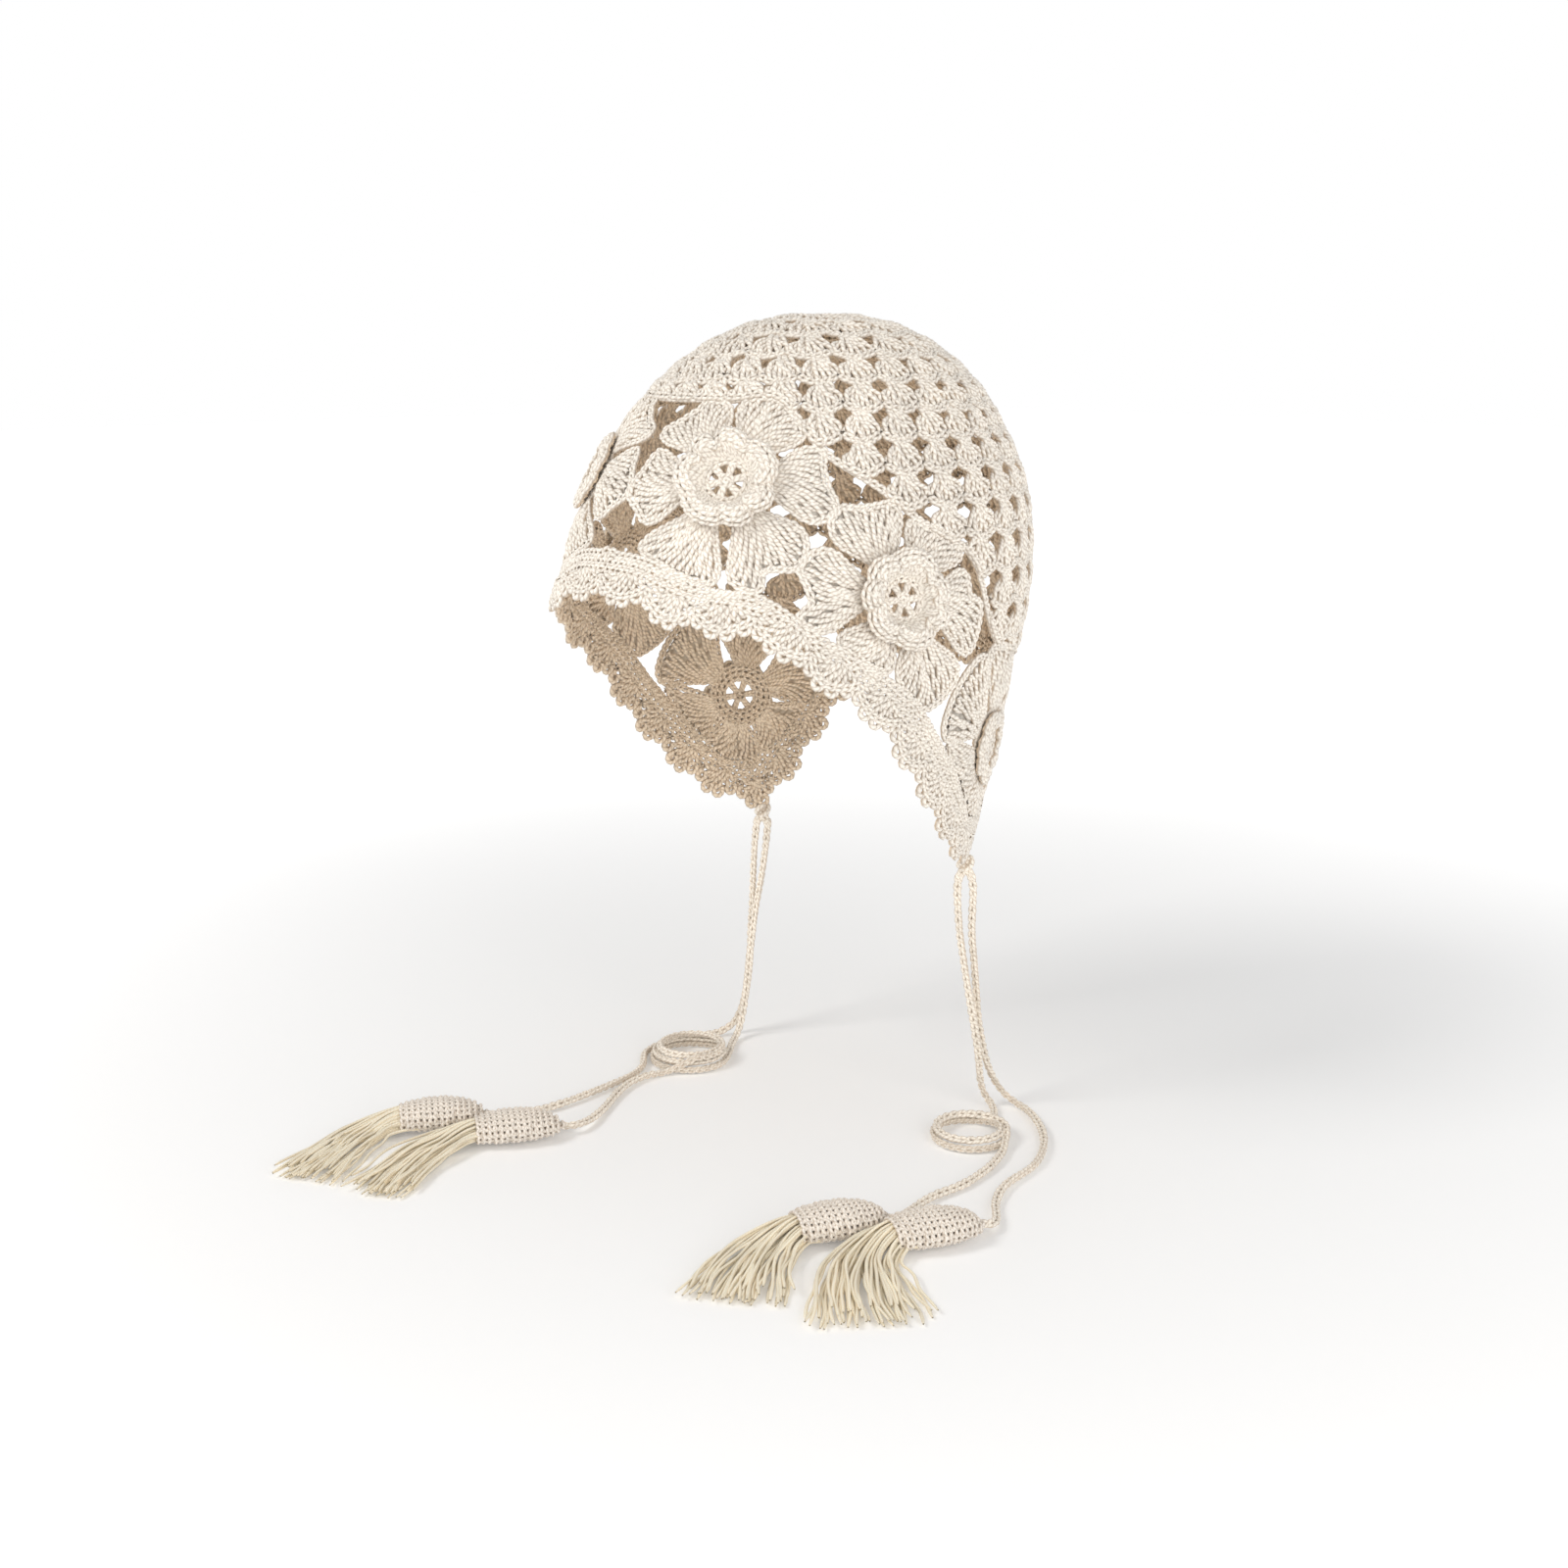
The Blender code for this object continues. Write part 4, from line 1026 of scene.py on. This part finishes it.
# Columns: radius of the ruffle's crest, its height; some are pressed flat.
RUFFLES = {
    "brow_left": (0.0146, 0.0052), "temple_left": (0.0146, 0.0050),
    "flap_left": (0.0112, 0.0016), "brow_right": (0.0122, 0.0022),
    "temple_right": (0.0136, 0.0040), "flap_right": (0.0120, 0.0020),
}
RUFFLE_LOBES = 7
RUFFLE_POSTS = 46
RUFFLE_FOOT = 0.0088
RUFFLE_BASE = 0.0014  # height of the ruffle's foot over the petals
# Chains of the ruffle's edge.  Columns: radius beyond the crest, share of the height.
RUFFLE_ROUNDS = ((0.0013, 0.70), (0.0002, 0.98), (-0.0018, 1.02))
RUFFLE_STITCH = {"pitch": 0.0034, "width": 0.00125, "lift": 0.0006, "radius": POST_YARN}
SPOKES = 6


def work_rosette(name, patch, first_petal):
    """The raised ruffle: a wall of posts that rises, curls over and ends in a chain edge."""
    yarn = Yarn()
    wide, rise = RUFFLES[name]
    shift, lean = RNG.uniform(0, 2 * math.pi, 2)
    depth = RNG.uniform(0.7, 1.25, RUFFLE_LOBES)

    def ripple(angle):
        """Round lobes that meet in notches, each a little different from the next."""
        place = np.mod((angle - first_petal) / 360.0 * RUFFLE_LOBES + shift, RUFFLE_LOBES)
        place = np.mod(place + 0.22 * np.sin(np.radians(angle) * 2 + lean), RUFFLE_LOBES)
        lobe = np.abs(np.sin(math.pi * place)) ** 0.7
        return (lobe - 0.6) * depth[np.floor(place).astype(int)]

    def crest_at(angle):
        return wide + 0.0030 * ripple(angle), rise * (1.0 + 0.42 * ripple(angle + 6.0))

    angle = first_petal + 360.0 * np.arange(RUFFLE_POSTS) / RUFFLE_POSTS
    angle = angle + RNG.uniform(-1.2, 1.2, RUFFLE_POSTS)
    t = np.linspace(0, 1, 9)[None]
    crest, tall = crest_at(angle)
    distance = RUFFLE_FOOT + (crest - RUFFLE_FOOT)[:, None] * t ** 1.2
    height = RUFFLE_BASE + tall[:, None] * np.sin(t * 2.0)
    for side in (-2.1, 2.1):
        slant = side * np.cos(t * math.pi * 1.6)
        yarn.add(*patch.at(angle[:, None] + slant, distance, height), POST_YARN)
    fine = np.linspace(0, 360, 181) + first_petal
    crest, tall = crest_at(fine)
    for grow, share in RUFFLE_ROUNDS:
        chain(yarn, *patch.at(fine, crest + grow, RUFFLE_BASE + tall * share), closed=True,
              **RUFFLE_STITCH)
    spoke = first_petal + 12.0 + 60.0 * np.arange(SPOKES)
    t = np.linspace(0, 1, 6)[None]
    for side in (-9.0, 9.0):
        world, normal = patch.at(spoke[:, None] + side * (1 - 0.4 * t), 0.0016 + 0.0064 * t,
                                 0.0012 + 0.0006 * np.sin(t * math.pi))
        yarn.add(world, normal, YARN * 1.15)
    around = np.linspace(0, 360, 41)
    for radius in (0.0017, 0.0076):
        chain(yarn, *patch.at(around, radius, 0.0016), pitch=0.0027, width=0.0009, closed=True)
    made = yarn.make("ruffle_" + name, COTTON, "cotton")
    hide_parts("rosette_" + name)


for flower_name, _, _, petal_turn in FLOWERS:
    work_flower(flower_name, petal_turn)


# The edging.
SHELL_PITCH = 0.022
SHELL_FOOT = 0.0094
SHELL_POSTS = 7
SHELL_EDGE = 0.0008  # from the rim to a shell's lowest chain
SHELL_DIP = 0.0062  # how far a shell's edge rises at its sides
BEAD_LANES = (-0.74, -0.26, 0.26, 0.74)
BEAD_YARN = 0.00116
FILLED_ROWS = 4
ROW_PITCH = 0.0029
OPEN_FRONT = 62.0  # degrees either side of the face where the band is open work
STATION = 0.001  # from one place along the rim to the next
LADDER_STEP = 6  # stations between the rungs of the open work
SHORTEST_RUN = 7  # stations
RIM_COLUMN = 0.002
BAND_WIDTHS = (0.004, 0.022)  # the narrowest and the widest that the band is read as


def rim_patch():
    """A patch that runs inwards from the rim, with its columns along it, and the rim's length."""
    turns = np.linspace(-180.0, 180.0, 2881)
    gone = arc_lengths(on_fabric(turns, rim_reach(turns)))
    total = gone[-1]
    count = int(round(total / RIM_COLUMN))
    turn = np.interp(total * np.arange(count) / count, gone, turns)
    reach = rim_reach(turn)
    point = on_fabric(turn, reach)
    normal = outward(turn, reach)
    run = unit(np.roll(point, -3, axis=0) - np.roll(point, 3, axis=0))
    inward = np.cross(run, normal)
    inward *= np.sign(inward[:, 2:3] + 1e-9)
    kernel = np.hanning(9)
    kernel /= kernel.sum()
    padded = np.concatenate([inward[-4:], inward, inward[:4]])
    inward = np.stack([np.convolve(padded[:, k], kernel, "valid") for k in range(3)], axis=1)
    return Patch(turn, reach, flattened(inward, normal), 0.001, count / total), total


def work_shell(yarn, patch, centre, pitch, foot):
    """A fan of posts, the chain round its edge and the small loops that hang from that."""
    lanes = np.linspace(-1, 1, SHELL_POSTS)
    start = np.stack([centre + lanes * 0.0045, np.full(SHELL_POSTS, foot)], axis=1)
    edge = SHELL_EDGE + SHELL_DIP * np.abs(lanes) ** 2
    end = np.stack([centre + lanes * (pitch / 2 - 0.0016), edge + 0.0008], axis=1)
    along, inset, heights = ropes(start, end, 1.0, 0.00085, 8, bow=-lanes * 0.0007)
    yarn.add(*patch.at(along, inset, heights + 0.0004), POST_YARN)
    sweep = np.linspace(-1, 1, 21)
    inset = SHELL_EDGE + SHELL_DIP * np.abs(sweep) ** 2
    chain(yarn, *patch.at(centre + sweep * pitch / 2, inset, 0.0006), width=0.0010, lift=0.0005)
    ring = np.linspace(-0.35 * math.pi, 1.35 * math.pi, 9)
    for lane in BEAD_LANES:
        along = centre + lane * pitch / 2 + 0.0021 * np.cos(ring)
        depth = SHELL_EDGE + SHELL_DIP * lane**2 - 0.0010 - 0.0024 * np.sin(ring)
        world, normal = patch.at(along, np.maximum(depth, 0.0), 0.0)
        outwards = unit(patch.at(along, 0.0, 0.0)[0] - patch.at(along, 0.002, 0.0)[0])
        world = world + outwards * np.maximum(-depth, 0.0)[:, None]
        yarn.add(world[None], normal[None], BEAD_YARN)


def work_edging():
    patch, total = rim_patch()
    within = patch.reaches > band_reach(patch.turns)
    rows = np.argmin(within, axis=0)
    rows[within.all(axis=0)] = within.shape[0] - 1
    width = np.clip((rows - 0.5) * patch.stride, *BAND_WIDTHS)

    def width_at(along):
        column = np.mod(along * patch.per, len(width))
        return np.interp(column, np.arange(len(width)), width)

    pieces = [Yarn(), Yarn()]
    shells = int(round(total / SHELL_PITCH))
    pitch = total / shells
    for i in range(shells):
        centre = (i + 0.5) * pitch
        foot = min(SHELL_FOOT, float(width_at(centre)) - 0.0008)
        work_shell(pieces[i * 2 // shells], patch, centre, pitch, foot)
    stations = np.arange(0.0, total + STATION / 2, STATION)
    half = len(stations) // 2

    def run_of_chain(inset, keep, height):
        """Chain stitches parallel to the rim wherever keep is true."""
        edges = np.flatnonzero(np.diff(np.concatenate([[0], keep.astype(int), [0]])))
        for a, b in zip(edges[::2], edges[1::2]):
            if b - a < SHORTEST_RUN:
                continue
            for yarn, low, high in ((pieces[0], 0, half), (pieces[1], half, len(stations))):
                p, q = max(a, low), min(b, high)
                if q - p >= SHORTEST_RUN:
                    chain(yarn, *patch.at(stations[p:q], inset[p:q], height), width=0.0011)

    widths = width_at(stations)
    columns = np.minimum((stations * patch.per).astype(int), len(width) - 1)
    in_front = np.abs(patch.turns[0, columns]) < OPEN_FRONT
    run_of_chain(np.minimum(SHELL_FOOT + 0.0004, widths - 0.0006), widths > 0.005, 0.0003)
    run_of_chain(widths - 0.0008, widths > SHELL_FOOT + 0.0025, 0.0002)
    for row in range(1, FILLED_ROWS + 1):
        depth = SHELL_FOOT + 0.0004 + ROW_PITCH * row
        inset = np.full(len(stations), depth)
        world, _ = patch.at(stations, inset, 0.0)
        nearest = np.linalg.norm(world[:, None] - patch.points[0][None, ::2], axis=-1).min(axis=1)
        filled = (widths > depth + 0.0018) & (nearest > depth * 0.86)
        run_of_chain(inset, filled & ~(in_front & (row > 1)), 0.0)
    for k in range(0, len(stations), LADDER_STEP):
        low, high = SHELL_FOOT + 0.0033, widths[k] - 0.0012
        if not in_front[k] or high - low < 0.0015:
            continue
        start = np.array([[stations[k], low], [stations[k] + 0.0016, low]])
        end = np.array([[stations[k] + 0.0006, high], [stations[k] + 0.0022, high]])
        along, inset, heights = ropes(start, end, 0.6, 0.0006, 5)
        pieces[0 if k < half else 1].add(*patch.at(along, inset, heights), YARN)
    for name, yarn in zip(("right", "left"), pieces):
        made = yarn.make("edging_crochet_" + name, COTTON, "cotton")
        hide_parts("edging")


work_edging()


# Floor, lights and backdrop.
FLOOR_SIZE = 6.0
FLOOR_GREY = (0.93, 0.93, 0.93, 1.0)
WHITE = (1.0, 1.0, 1.0, 1.0)
BACKDROP = 1.0  # strength of the world's light below eye level
ROOM = 0.48  # and above


def add_floor():
    """Pale paper with a painted glow that grows stronger away from the hat, into the backdrop."""
    mesh = bpy.data.meshes.new("floor")
    corners = ((-1, -1), (1, -1), (1, 1), (-1, 1))
    mesh.from_pydata([(x * FLOOR_SIZE, y * FLOOR_SIZE, FLOOR - 0.0002) for x, y in corners],
                     [], [(0, 1, 2, 3)])
    look = bpy.data.materials.new("floor_paper")
    look.use_nodes = True
    tree = look.node_tree
    away = node(tree, "VectorMath", {0: node(tree, "TexCoord")["Object"]}, operation="LENGTH")
    # Painted light: the floor glows more the farther it lies from the hat.
    glow = node(tree, "MapRange", {"Value": away["Value"], "From Min": 0.20, "From Max": 1.0,
                                   "To Min": 0.06, "To Max": 0.60},
                interpolation_type="SMOOTHSTEP")
    feed(tree, tree.nodes["Principled BSDF"], {
        "Base Color": FLOOR_GREY, "Roughness": 0.9, "Specular IOR Level": 0.1,
        "Emission Color": WHITE, "Emission Strength": glow["Result"],
    })
    mesh.materials.append(look)
    put(mesh)


def add_light(name, place, aim, size, power, colour):
    data = bpy.data.lights.new(name, "AREA")
    data.size = size
    data.energy = power
    data.color = colour
    back = unit(np.array(place, float) - np.array(aim, float))
    stand(data, place, back, unit(np.cross(UP, back)))


def add_studio():
    """A pale room, brighter at eye level, where the backdrop stands."""
    world = bpy.data.worlds.new("studio")
    world.use_nodes = True
    tree = world.node_tree
    way = node(tree, "SeparateXYZ", {0: node(tree, "TexCoord")["Generated"]})
    band = node(tree, "MapRange", {"Value": way["Z"], "From Min": 0.16, "From Max": 0.34,
                                   "To Min": BACKDROP, "To Max": ROOM},
                interpolation_type="SMOOTHSTEP")
    feed(tree, tree.nodes["Background"], {"Color": WHITE, "Strength": band["Result"]})
    bpy.context.scene.world = world
    bpy.context.scene.view_settings.view_transform = "Standard"


add_floor()
add_light("key", (-0.35, -1.15, 0.85), (0.0, 0.0, -0.12), 0.55, 8.6, (1.0, 0.985, 0.96))
add_light("fill", (1.25, -0.35, 0.35), (0.0, 0.0, -0.15), 1.0, 6.0, (1.0, 0.99, 0.98))
add_studio()
